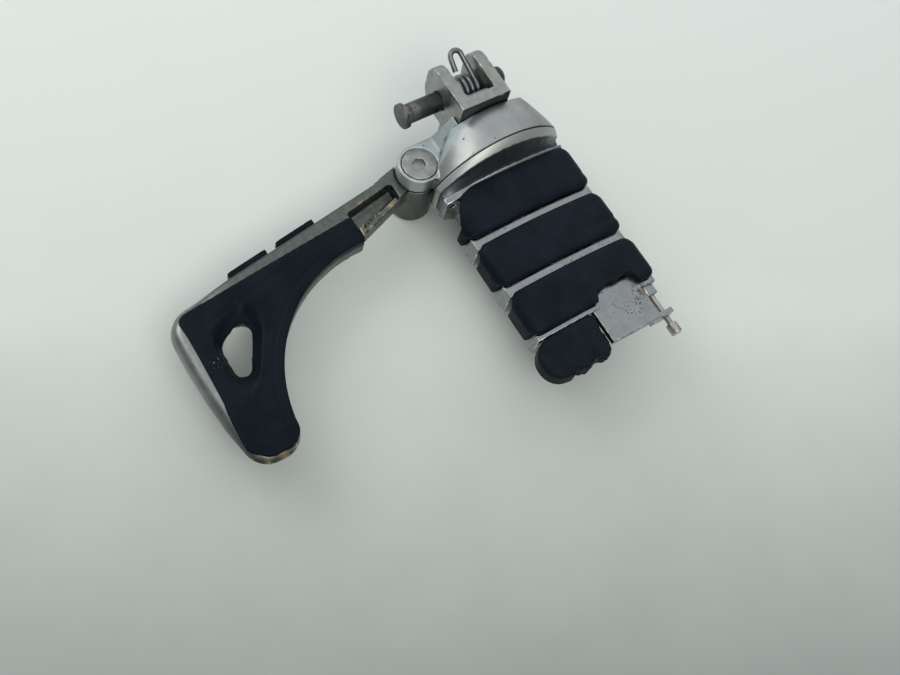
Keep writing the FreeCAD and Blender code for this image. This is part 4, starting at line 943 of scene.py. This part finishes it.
def saddle_section():
    """Outer places of the section as (across, height), from the left skirt to the right one."""
    outline = []
    skirt = PAD_EDGE - PAD_CORNER - SKIRT_END
    top = PAD_HALF - PAD_CORNER
    bend = PAD_CORNER * math.pi / 2
    total = 2 * (skirt + bend + top)
    for step in range(SECTION_STEPS + 1):
        reach = total * step / SECTION_STEPS
        side = -1.0
        if reach > total / 2:
            reach = total - reach
            side = 1.0
        if reach < skirt:
            across, height = PAD_HALF, SKIRT_END + reach
        elif reach < skirt + bend:
            angle = (reach - skirt) / PAD_CORNER
            across = top + PAD_CORNER * math.cos(angle)
            height = PAD_EDGE - PAD_CORNER + PAD_CORNER * math.sin(angle)
        else:
            across = top - (reach - skirt - bend)
            height = PAD_EDGE
        lift = PAD_CROWN * max(0.0, 1.0 - (across / PAD_HALF) ** 2)
        outline.append((across * side, height + (lift if height > PAD_EDGE - PAD_CORNER else 0.0)))
    return outline


def seat_under(across, height):
    """The nearest place of the pad's seat below an outer place."""
    if abs(across) > SEAT_HALF:
        return math.copysign(SEAT_HALF, across), min(height, SEAT_EDGE)
    return across, SEAT_EDGE + PAD_CROWN * (1.0 - (across / SEAT_HALF) ** 2)


print("the pad's section has", len(saddle_section()), "places")

# %% [markdown]
# At every place of the section, one ring goes round the rubber along the peg: up one end, over the crown,
# down the other end and back along the seat. The end profile pairs a share of the rubber's thickness with
# how far the rubber stands out there. Up to a third it sits against the rib, then it swells over the
# rib's edge and turns into the crown. Neighbouring rings are joined by a skin of faces.

# %% Rings and skins
END_PROFILE = [(0.0, 0.0), (0.30, 0.0), (0.36, 0.25), (0.43, 0.65), (0.52, 0.95), (0.62, 1.1), (0.72, 1.02),
               (0.80, 0.75), (0.87, 0.3), (0.925, -0.3), (0.965, -1.0), (0.99, -1.8), (1.0, -2.8)]
CROWN_STEPS = 18
SEAT_STEPS = 6
SKIN_MERGE = 0.001 * MM


def pad_ring(start, finish, swell, ragged):
    """One ring round the rubber as (along, share of the thickness), from the seat over the crown."""
    ring = [(start - out * swell * MM, share) for share, out in END_PROFILE]
    torn_swell = swell * (1.0 - ragged)
    first, last = ring[-1][0], finish + END_PROFILE[-1][1] * torn_swell * MM
    ring += [(first + (last - first) * step / CROWN_STEPS, 1.0) for step in range(1, CROWN_STEPS)]
    ring += [(finish + out * torn_swell * MM, share) for share, out in reversed(END_PROFILE)]
    return ring + [(finish + (start - finish) * step / SEAT_STEPS, 0.0) for step in range(1, SEAT_STEPS)]


def skin(work, rings):
    """Faces between each ring of vertices and the next."""
    count = len(rings[0])
    for ring, following in zip(rings, rings[1:]):
        for step in range(count):
            after = (step + 1) % count
            work.faces.new((ring[step], ring[after], following[after], following[step]))


def closed_mesh(work, name):
    """The mesh of a closed skin, with doubled corners merged and its faces outward and smooth."""
    bmesh.ops.remove_doubles(work, verts=work.verts, dist=SKIN_MERGE)
    bmesh.ops.recalc_face_normals(work, faces=work.faces)
    mesh = bpy.data.meshes.new(name)
    work.to_mesh(mesh)
    work.free()
    return smoothed(mesh)


# %% [markdown]
# A saddle is then made of such rings. Moulded rubber is never quite even, so its surface wobbles a little.
# Near a worn outer end the crown dips into a lip, and a torn end is shredded.

# %% Saddles
SKIRT_SWELL = 0.3
LIP_GAP = 4.4 * MM
LIP_WIDTH = 1.0 * MM
LIP_DEPTH = 0.05
WOBBLE = 0.015
WOBBLE_SCALE = 190.0
SHRED = 0.55 * MM
SHRED_SCALE = 800.0
SHRED_REACH = 1.5 * MM
NOISE_RISE = 4.0 * MM
SADDLE_SHARP = math.radians(55)


def clamped(share):
    """A share kept between 0 and 1."""
    return min(max(share, 0.0), 1.0)


def saddle(name, node, start_at, finish_at, lip_at, torn_at=lambda across: 0.0):
    """A tread pad between two ends; lip_at and torn_at say how worn its outer end is across the peg."""
    work = bmesh.new()
    rings = []
    for across, height in saddle_section():
        inner_across, inner_height = seat_under(across, height)
        finish = finish_at(across)
        torn = torn_at(across)
        on_top = clamped((height - SKIRT_END) / (PAD_EDGE - SKIRT_END)) ** 3
        swell = SKIRT_SWELL + (1.0 - SKIRT_SWELL) * on_top
        ring = []
        for along, share in pad_ring(start_at(across), finish, swell, torn):
            worn = LIP_DEPTH * lip_at(across) * math.exp(-((finish - along - LIP_GAP) / LIP_WIDTH) ** 2)
            spot = Vector((along, across, height + share * NOISE_RISE))
            wobble = WOBBLE * (noise.noise(spot * WOBBLE_SCALE) - 1.0)
            shred = torn * SHRED * noise.noise(spot * SHRED_SCALE) * (finish - along < SHRED_REACH)
            level = share * (1.0 + wobble * share) - worn * (share == 1.0)
            place = (along + shred, PEG_MIDDLE + inner_across + (across - inner_across) * level,
                     inner_height + (height - inner_height) * level)
            ring.append(work.verts.new(place))
        rings.append(ring)
    skin(work, rings)
    work.faces.new(rings[0])
    work.faces.new(rings[-1])
    mesh = closed_mesh(work, name)
    mesh.set_sharp_from_angle(angle=SADDLE_SHARP)
    mark_edges(mesh, RUBBER_REACH)
    new_piece(name, mesh, "peg", rubber["tread"], node)


# %% [markdown]
# What remains is each pad's ends in plan. Corners are rounded by drawing the end back near the skirts, and
# the first pad has one very large corner. The last pad was torn along part of its outer end, in two steps
# with a ragged line. The two others have a worn lip.

# %% Tread pads
LEFT_CORNER = 3.0 * MM
RIGHT_CORNER = 4.0 * MM
OUTER_CORNER = 1.8 * MM
FIRST_CORNER = 15.5 * MM
DEEPEST_CORNER = 12.5 * MM
FIRST_LIP = 0.8 * MM
FIRST_WEAR = 0.5
TEAR_START = 0.2 * MM
TEAR_FINISH = 21.0 * MM
TEAR_EASE_IN = 1.8 * MM
TEAR_EASE_OUT = 1.6 * MM
TEAR_DEPTH = 4.0 * MM
TEAR_STEP = 1.2 * MM
TEAR_STEP_LENGTH = 6.0 * MM
TEAR_RAGGED = 0.9 * MM
RAGGED_COARSE = 330.0
RAGGED_FINE = 1100.0
WORN_START = -2.0 * MM
WORN_EASE = 8.0 * MM
pad_ends = {name: [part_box(name)[side].x for side in (0, 1)]
            for name in ("tread_pad_inner", "tread_pad_middle", "tread_pad_outer")}


def drawn_back(gap, radius):
    """How far a rounded corner draws an end back, at a distance from the side."""
    gap = min(max(gap, 0.0), radius)
    return min(radius - math.sqrt(radius ** 2 - (radius - gap) ** 2), DEEPEST_CORNER)


def inner_end(name, left, lip=0.0):
    """A pad's inner end with its two rounded corners, as a function of the place across."""
    place = pad_ends[name][0] - lip

    def end_at(across):
        """Where the end is at a place across."""
        corners = (drawn_back(across + PAD_HALF, left), drawn_back(PAD_HALF - across, RIGHT_CORNER))
        return place + max(corners)

    return end_at


def outer_end(name):
    """A pad's outer end with two small corners, as a function of the place across."""
    place = pad_ends[name][1]
    return lambda across: place - drawn_back(PAD_HALF - abs(across), OUTER_CORNER)


def torn_share(across):
    """How much of the last pad's outer end is torn, from 0 to 1."""
    ease = clamped((across - TEAR_START) / TEAR_EASE_IN)
    return ease * clamped((TEAR_FINISH - across) / TEAR_EASE_OUT)


def torn_end(across):
    """The last pad's outer end, torn back between two places."""
    coarse = noise.noise(Vector((across * RAGGED_COARSE, 3.1, 0.7)))
    fine = noise.noise(Vector((across * RAGGED_FINE, 1.4, 5.2)))
    step = TEAR_STEP * (across < TEAR_START + TEAR_STEP_LENGTH)
    depth = TEAR_DEPTH - step + TEAR_RAGGED * (coarse + 0.5 * fine)
    return outer_end("tread_pad_outer")(across) - torn_share(across) * depth


def worn_right(across):
    """A worn lip on the right half."""
    return clamped((across - WORN_START) / WORN_EASE)


saddle("tread_saddle_inner", "tread_pad_inner", inner_end("tread_pad_inner", FIRST_CORNER, FIRST_LIP),
       outer_end("tread_pad_inner"), lip_at=lambda across: FIRST_WEAR)
saddle("tread_saddle_middle", "tread_pad_middle", inner_end("tread_pad_middle", LEFT_CORNER),
       outer_end("tread_pad_middle"), lip_at=worn_right)
saddle("tread_saddle_outer", "tread_pad_outer", inner_end("tread_pad_outer", LEFT_CORNER), torn_end,
       lip_at=lambda across: 0.0, torn_at=torn_share)

# %% [markdown]
# Smaller rubber pieces are slabs over an outline in plan. Their rings shrink towards the top and the
# bottom along a quarter circle, so the rim is round all the way.

# %% Rounded slab
def rounded_slab(outline, low, high, edge_round, rings=7):
    """A closed slab over a plan outline, with a rounded rim above and below."""
    centre = sum((Vector(place) for place in outline), Vector((0, 0))) / len(outline)
    size = max((Vector(place) - centre).length for place in outline)
    turns = [math.pi / 2 * step / rings for step in range(rings + 1)]
    sines = [edge_round * (1 - math.sin(turn)) for turn in turns]
    cosines = [edge_round * (1 - math.cos(turn)) for turn in turns]
    levels = [(low + rise, inset) for rise, inset in zip(cosines, sines)]
    levels += [(high - fall, inset) for fall, inset in zip(sines, cosines)]
    work = bmesh.new()
    loops = []
    for height, inset in levels:
        shrink = 1.0 - inset / size
        spots = [centre + (Vector(place) - centre) * shrink for place in outline]
        loops.append([work.verts.new((spot.x, spot.y, height)) for spot in spots])
    skin(work, loops)
    count = len(outline)
    for loop in (loops[0], loops[-1]):
        hub = work.verts.new(sum((vertex.co for vertex in loop), Vector()) / count)
        for index in range(count):
            work.faces.new((loop[index], loop[(index + 1) % count], hub))
    return closed_mesh(work, "slab")


# %% [markdown]
# The end pad is what a tear left behind: a rounded lobe with one ragged side. A smooth closed curve runs
# through its corners and is roughened on the torn ones. The slab over it is remeshed, and then its top is
# made lumpy, with a shallow groove across it and a frayed side.

# %% End pad
LOBE_CORNERS = [(105.2, -6.1), (104.9, -17.5), (105.8, -29.0), (110.6, -34.5), (117.2, -34.7), (121.6, -31.2),
                (122.9, -25.5), (121.4, -24.4), (123.1, -19.0), (121.6, -13.0), (122.6, -8.6), (118.6, -5.9),
                (112.0, -5.7)]
TORN_SIDES = (6, 7, 8, 9, 10, 11, 12)
TORN_SHIFT = 0.7 * MM
TORN_SCALE = 900.0
LOBE_PLACES = 156
LOBE_LOWERED = 0.4 * MM
LOBE_ROUND = 2.4 * MM
LOBE_VOXEL = 0.4 * MM
LUMP_HEIGHT = 0.3 * MM
LUMP_SCALE = 130.0
LUMP_FINE_SCALE = 420.0
GROOVE_MIDDLE = -12.5 * MM
GROOVE_HALF = 2.5 * MM
GROOVE_DEPTH = 0.5 * MM
TOP_BAND = 4.0 * MM
TOP_EASE = 2.0 * MM
FRAYED_LINE = 103.0 * MM
FRAYED_EASE = 6.0 * MM
FRAYED_BACK = 0.9 * MM
FRAYED_BACK_SCALE = 520.0
FRAYED_DOWN = 1.2 * MM
FRAYED_DOWN_SCALE = 300.0


def smooth_outline(corners, count, ragged):
    """A closed curve through corners, as many even places; ragged names the corners with a torn side."""
    points = [Vector(corner) for corner in corners]
    sides = len(points)
    places = []
    per_side = count // sides
    for index in range(sides):
        before, start, finish, after = (points[(index + shift) % sides] for shift in (-1, 0, 1, 2))
        for step in range(per_side):
            share = step / per_side
            place = 0.5 * ((2 * start) + (finish - before) * share
                           + (2 * before - 5 * start + 4 * finish - after) * share ** 2
                           + (3 * start - before - 3 * finish + after) * share ** 3)
            if index in ragged:
                shift = TORN_SHIFT * noise.noise(Vector((place.x * TORN_SCALE, place.y * TORN_SCALE, 1.7)))
                place = place + (place - sum(points, Vector((0, 0))) / sides).normalized() * shift
            places.append(tuple(place))
    return places


lobe_low, lobe_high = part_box("end_pad")
lobe_outline = smooth_outline([Vector(corner) * MM for corner in LOBE_CORNERS], LOBE_PLACES, TORN_SIDES)
lobe_slab = rounded_slab(lobe_outline, lobe_low.z, lobe_high.z - LOBE_LOWERED, LOBE_ROUND)
lobe_mesh = even_faces(lobe_slab, LOBE_VOXEL, rounds=2)
for vertex in lobe_mesh.vertices:
    lump = noise.noise(vertex.co * LUMP_SCALE) + 0.5 * noise.noise(vertex.co * LUMP_FINE_SCALE)
    groove = max(0.0, 1.0 - abs(vertex.co.y - GROOVE_MIDDLE) / GROOVE_HALF)
    raised = clamped((vertex.co.z - lobe_high.z + TOP_BAND) / TOP_EASE)
    vertex.co.z += raised * (LUMP_HEIGHT * (lump - 1.0) - GROOVE_DEPTH * groove)
    frayed = clamped((vertex.co.x + vertex.co.y - FRAYED_LINE) / FRAYED_EASE)
    vertex.co.x -= frayed * FRAYED_BACK * abs(noise.noise(vertex.co * FRAYED_BACK_SCALE))
    vertex.co.z -= frayed * raised * FRAYED_DOWN * abs(noise.noise(vertex.co * FRAYED_DOWN_SCALE))
mark_edges(lobe_mesh, RUBBER_REACH)
new_piece("end_pad_lobe", lobe_mesh, "peg", rubber["tread"], "end_pad")

# %% [markdown]
# The two bumpers on the heel rest's wall are the same small bar at two places, so one function makes
# both. Each leans with the wall, and its corners in plan are rounded by a few places each.

# %% Bumpers
BUMPER_ROUND = 1.4 * MM
BUMPER_RIM = 0.7 * MM
CORNER_SHARES = (1.0, 0.62, 0.33, 0.12)
CORNER_BULGE = 0.12


def bumper(name, node):
    """A rounded rubber bar on the outer wall, in the box of its CAD node."""
    low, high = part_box(node)
    lean = (FOOT_CORNER.x - WALL_START.x) / (WALL_START.y - FOOT_CORNER.y) * (high.y - low.y)
    depth = (high.x - low.x) - lean
    corners = [(high.x - lean, high.y), (low.x, high.y), (low.x + lean, low.y), (high.x, low.y)]
    outline = []
    for index, corner in enumerate(corners):
        place = Vector(corner)
        before = (Vector(corners[index - 1]) - place).normalized() * BUMPER_ROUND
        after = (Vector(corners[(index + 1) % 4]) - place).normalized() * BUMPER_ROUND
        for share in CORNER_SHARES:
            outline.append(tuple(place + before * share + after * (1.0 - share) * CORNER_BULGE))
        for share in reversed(CORNER_SHARES):
            outline.append(tuple(place + after * share + before * (1.0 - share) * CORNER_BULGE))
    mesh = rounded_slab(outline, low.z, high.z, min(BUMPER_RIM, depth / 2))
    mark_edges(mesh, RUBBER_REACH)
    new_piece(name, mesh, "heel_rest", rubber["rest"], node)


bumper("bumper_bar_inner", "heel_bumper_inner")
bumper("bumper_bar_outer", "heel_bumper_outer")

# %% [markdown]
# The heel rest's inlay is moulded rubber. Its border slopes down to the metal rim on both sides, a crease
# runs where the border meets the flat field, and the field falls away in a dish towards the window. It
# starts from the CAD inlay, and every vertex of its top is lowered by what these forms ask at its place.
# The rubber also spreads over the rim, and a lining reaches down into the window.

# %% Heel rest inlay's forms
INLAY_TOP = -11.5 * MM
TOP_DEEP = 3.6 * MM
TOP_FADE = 2.6 * MM
SIDE_RIM = 3.2 * MM
FOOT_RIM = 5.2 * MM
FOOT_EASE = 12.0 * MM
BORDER_WIDTH = 6.0 * MM
BORDER_DROP = 0.5 * MM
CREASE_DEPTH = 0.4 * MM
CREASE_WIDTH = 0.55 * MM
HOLLOW_CENTRE = Vector((94.6, -65.5)) * MM
HOLLOW_RADIUS = 58.6 * MM
HOLLOW_BORDER = 3.8 * MM
DISH = [Vector(corner) * MM for corner in (
    (42.0, -113.6), (47.0, -114.2), (52.8, -117.4), (59.2, -121.0), (65.6, -125.4),
    (70.5, -129.5), (74.5, -134.0), (68.0, -136.3), (52.1, -136.3), (45.1, -135.6),
    (40.3, -133.3), (36.4, -127.9), (34.5, -121.2), (36.5, -115.5))]
DISH_DEPTH = 3.4 * MM
LEAST_GAP = 0.05 * MM


def lower_top(places, edge_gap, outside):
    """Lowers the inlay's top for its two borders, their creases and the dish."""
    hollow_gap = np.linalg.norm(places[:, :2] - np.array(HOLLOW_CENTRE), axis=1) - HOLLOW_RADIUS
    drop = np.zeros(len(places))
    for gap, width in ((edge_gap, BORDER_WIDTH), (hollow_gap, HOLLOW_BORDER)):
        drop += BORDER_DROP * np.clip(1.0 - gap / width, 0.0, 1.0)
        drop += CREASE_DEPTH * np.exp(-((gap - width) / CREASE_WIDTH) ** 2)
    inside = np.maximum(signed_gap(places, DISH), 0.0)
    drop += DISH_DEPTH * smooth_step(inside / (inside + outside))
    share = np.clip((places[:, 2] - (INLAY_TOP - TOP_DEEP)) / TOP_FADE, 0.0, 1.0)
    places[:, 2] -= drop * share


# %% [markdown]
# In plan the rubber spreads over the rim by a different width at the wall, the foot and the tip, and right
# at the tip it stands back, where the metal shows. The window's near corner and one of its sides are drawn
# out, because they are less rounded than the others, and its edge is frayed.

# %% Heel rest inlay
WALL_SPREAD = 2.2 * MM
FOOT_SPREAD = 0.8 * MM
TIP_SPREAD = 1.4 * MM
TIP_SPREAD_START = 44.0 * MM
TIP_SPREAD_LENGTH = 48.0 * MM
SPREAD_REACH = 8.0 * MM
TIP_BACK = 3.0 * MM
TIP_BACK_START = 84.0 * MM
TIP_BACK_LENGTH = 13.0 * MM
LINING_TOP = -15.4 * MM
LINING_SHARE = 0.28
LINING_REACH = 2.0 * MM
APEX = Vector((44.3, -122.0)) * MM
APEX_PULL = Vector((-2.2, 0.9)) * MM
APEX_REACH = 9.0 * MM
SIDE_SPOT = Vector((48.0, -129.4)) * MM
SIDE_PULL = Vector((-1.5, 0.1)) * MM
SIDE_REACH = 7.0 * MM
FRAY_REACH = 0.8 * MM
FRAY_WIDTH = 0.35 * MM
FRAY_SCALE = 420.0
FRAY_APART = Vector((9.0, 4.0, 2.0))


def open_window(places):
    """Draws one side and the near corner of the window out."""
    for spot, shift, reach in ((SIDE_SPOT, SIDE_PULL, SIDE_REACH), (APEX, APEX_PULL, APEX_REACH)):
        away = np.linalg.norm(places[:, :2] - np.array(spot), axis=1)
        pull = smooth_step(1.0 - away / reach)
        places[:, :2] += pull[:, None] * np.array(shift)


def mould_inlay(mesh):
    """Shapes the inlay's top, spreads its border over the rim, and frays the window's edge."""
    places = read_places(mesh)
    rim_gap, inward = gap_inside(places, rest_rim())
    along_foot = smooth_step((places[:, 0] - FOOT_CORNER.x) / FOOT_EASE)
    edge_gap = rim_gap - SIDE_RIM - (FOOT_RIM - SIDE_RIM) * along_foot
    outside = np.maximum(window_gap(places), LEAST_GAP)
    lower_top(places, edge_gap, outside)
    at_tip = smooth_step((places[:, 0] - TIP_SPREAD_START) / TIP_SPREAD_LENGTH)
    spread = WALL_SPREAD + (FOOT_SPREAD - WALL_SPREAD) * along_foot + TIP_SPREAD * at_tip
    spread *= smooth_step(1.0 - edge_gap / SPREAD_REACH)
    places[:, :2] -= inward * spread[:, None]
    places[:, 0] -= TIP_BACK * smooth_step((places[:, 0] - TIP_BACK_START) / TIP_BACK_LENGTH)
    lining = (outside < LINING_REACH) & (places[:, 2] < LINING_TOP)
    places[lining, 2] = LINING_TOP + (places[lining, 2] - LINING_TOP) * LINING_SHARE
    open_window(places)
    fray = (outside < FRAY_REACH) * FRAY_WIDTH
    for index in np.nonzero(fray)[0]:
        spot = Vector(places[index]) * FRAY_SCALE
        places[index, 0] += fray[index] * noise.noise(spot)
        places[index, 1] += fray[index] * noise.noise(spot + FRAY_APART)
    mesh.vertices.foreach_set("co", places.ravel())
    mesh.update()


casting("heel_rest_pad", "heel_rest_inlay", "heel_rest", rubber["rest"],
        voxel=0.42 * MM, shape=mould_inlay)

# %% [markdown]
# The return spring is bent from one wire: a coil round the pin, a tail along the slot and a hook at the
# back. Its middle line is a chain of places.

# %% Return spring's path
COIL_RADIUS = 5.7 * MM
COIL_TURNS = 3.95
COIL_PITCH = 2.45 * MM
COIL_ANGLE = math.radians(110.0)
COIL_STEPS = 28
TAIL_LENGTH = 9.6 * MM
TAIL_PLACE = Vector((8.4, 0.0, 8.6)) * MM
HOOK_SHIFT = Vector((0.0, -1.8, 0.0)) * MM
HOOK_RISE = 10.5 * MM
HOOK_WIDTH = 5.0 * MM
HOOK_RETURN = 5.5 * MM
HOOK_STEPS = 8
HOOK_SLOPE = math.radians(32.0)
HOOK_LEAN = Vector((-math.cos(HOOK_SLOPE), 0.0, math.sin(HOOK_SLOPE)))


def spring_path():
    """The wire's middle line from the tail's end to the hook's end."""
    length = COIL_TURNS * COIL_PITCH
    places = []
    steps = int(COIL_TURNS * COIL_STEPS)
    for step in range(steps + 1):
        angle = COIL_ANGLE + 2 * math.pi * COIL_TURNS * step / steps
        places.append(Vector((COIL_RADIUS * math.cos(angle), length * step / steps - length / 2,
                              COIL_RADIUS * math.sin(angle))))
    first = TAIL_PLACE + Vector((0, -length / 2, 0))
    tail = [first + Vector((0, TAIL_LENGTH, 0)), first]
    top = places[-1] + HOOK_LEAN * HOOK_RISE + HOOK_SHIFT
    side = Vector((0, -HOOK_WIDTH / 2, 0))
    bend = []
    for step in range(HOOK_STEPS + 1):
        angle = math.pi * step / HOOK_STEPS
        bend.append(top + side - side * math.cos(angle) + HOOK_LEAN * (HOOK_WIDTH / 2) * math.sin(angle))
    return tail + places + bend + [bend[-1] - HOOK_LEAN * HOOK_RETURN]


print("the spring's path has", len(spring_path()), "places")

# %% [markdown]
# Geometry Nodes turns that chain into wire: the edges become a curve, its bends are rounded, and a circle
# is swept along it. The wire's radius and the bend's are inputs, so another spring only needs new numbers.

# %% Return spring
WIRE_RADIUS = 1.1 * MM
BEND_RADIUS = 1.1 * MM
WIRE_SIDES = 16


def swept_wire_tree():
    """Geometry Nodes that sweep a round wire along the edges of a mesh."""
    tree = bpy.data.node_groups.new("swept_wire", "GeometryNodeTree")
    tree.interface.new_socket("Path", in_out="INPUT", socket_type="NodeSocketGeometry")
    for label, value in (("Wire radius", WIRE_RADIUS), ("Bend radius", BEND_RADIUS)):
        tree.interface.new_socket(label, in_out="INPUT", socket_type="NodeSocketFloat").default_value = value
    tree.interface.new_socket("Finish", in_out="INPUT", socket_type="NodeSocketMaterial")
    tree.interface.new_socket("Wire", in_out="OUTPUT", socket_type="NodeSocketGeometry")
    given = tree.nodes.new("NodeGroupInput")
    result = tree.nodes.new("NodeGroupOutput")
    line = tree.nodes.new("GeometryNodeMeshToCurve")
    bend = tree.nodes.new("GeometryNodeFilletCurve")
    bend.inputs["Limit Radius"].default_value = True
    ring = tree.nodes.new("GeometryNodeCurvePrimitiveCircle")
    ring.inputs["Resolution"].default_value = WIRE_SIDES
    sweep = tree.nodes.new("GeometryNodeCurveToMesh")
    sweep.inputs["Fill Caps"].default_value = True
    smooth = tree.nodes.new("GeometryNodeSetShadeSmooth")
    plain = tree.nodes.new("GeometryNodeRealizeInstances")
    painted = tree.nodes.new("GeometryNodeSetMaterial")
    for source, out, target, into in (
            (given, "Path", line, "Mesh"), (line, "Curve", bend, "Curve"),
            (given, "Bend radius", bend, "Radius"), (given, "Wire radius", ring, "Radius"),
            (bend, "Curve", sweep, "Curve"), (ring, "Curve", sweep, "Profile Curve"),
            (sweep, "Mesh", smooth, "Geometry"), (smooth, "Geometry", plain, "Geometry"),
            (plain, "Geometry", painted, "Geometry"), (given, "Finish", painted, "Material"),
            (painted, "Geometry", result, "Wire")):
        tree.links.new(source.outputs[out], target.inputs[into])
    return tree


def swept_wire(name, path, values):
    """A wire mesh along a chain of places."""
    chain = bpy.data.meshes.new(name + "_path")
    chain.from_pydata([tuple(place) for place in path], [(i, i + 1) for i in range(len(path) - 1)], [])
    holder = bpy.data.objects.new("holder", chain)
    scene.collection.objects.link(holder)
    step = holder.modifiers.new("sweep", "NODES")
    step.node_group = swept_wire_tree()
    for socket in step.node_group.interface.items_tree:
        if socket.in_out == "INPUT" and socket.name in values:
            step[socket.identifier] = values[socket.name]
    mesh = evaluated_mesh(holder)
    bpy.data.objects.remove(holder)
    return mesh


spring_mesh = swept_wire("return_spring", spring_path(), {
    "Wire radius": WIRE_RADIUS, "Bend radius": BEND_RADIUS, "Finish": metal["spring"]})
new_piece("spring_wire", spring_mesh, "peg", metal["spring"], "return_spring")

# %% [markdown]
# The peg and the turned pieces keep their CAD meshes' exact shapes, but get a narrow chamfer, because a
# bare sharp edge catches no light. A copy is merged, its flat faces are joined, and its sharp edges are
# bevelled and marked for the wear effects.

# %% Peg and turned pieces
SHARP = math.radians(35.0)
FLAT = math.radians(0.5)


def chamfered(node, name, body, material, width, steps=2, clamp=True):
    """A copy of a CAD node with its sharp outer edges eased and marked for the wear effects."""
    mesh = merged_copy(node)
    work = bmesh.new()
    work.from_mesh(mesh)
    bmesh.ops.dissolve_limit(work, angle_limit=FLAT, verts=work.verts, edges=work.edges)
    mark = work.faces.layers.float.new("edge")
    sharp = [edge for edge in work.edges
             if len(edge.link_faces) == 2 and edge.is_convex and edge.calc_face_angle() > SHARP]
    eased = bmesh.ops.bevel(work, geom=sharp, offset=width, offset_type="OFFSET", segments=steps, profile=0.5,
                            affect="EDGES", clamp_overlap=clamp)
    for face in eased["faces"]:
        face[mark] = 1.0
    work.to_mesh(mesh)
    work.free()
    smoothed(mesh)
    mesh.set_sharp_from_angle(angle=SHARP)
    new_piece(name, mesh, body, material, node)


chamfered("peg_body", "peg_casting", "peg", metal["peg"], width=0.4 * MM, steps=3, clamp=False)
chamfered("clevis_pin", "pin_turned", "pin", metal["pin"], width=0.25 * MM)
chamfered("pivot_screw", "pivot_screw_turned", "peg", metal["screw"], width=0.25 * MM)
chamfered("pad_rod_right", "rod_right_turned", "peg", metal["rod"], width=0.3 * MM)

# %% [markdown]
# The left rod is hidden under the pads. Its inner end would stick out at the first pad's large corner, so
# the visible rod starts further out. The small pieces inside the joints keep their CAD meshes and only
# get their finish.

# %% Left rod and plain pieces
ROD_SEEN = 50.0 * MM
left_rod = merged_copy("pad_rod_left")
for vertex in left_rod.vertices:
    vertex.co.x = max(vertex.co.x, ROD_SEEN)
new_piece("rod_left_seen", left_rod, "peg", metal["rod"], "pad_rod_left")
PLAIN = {
    "clip": ["pin_clip"],
    "bush": ["pivot_bush"],
    "screw": ["adapter_stud", "adapter_dowel", "pivot_washer", "friction_washer", "pivot_nut"],
}
for finish_name, plain_nodes in PLAIN.items():
    for node in plain_nodes:
        nodes[node].data.materials.clear()
        nodes[node].data.materials.append(metal[finish_name])
    print(finish_name, "finish on", ", ".join(plain_nodes))
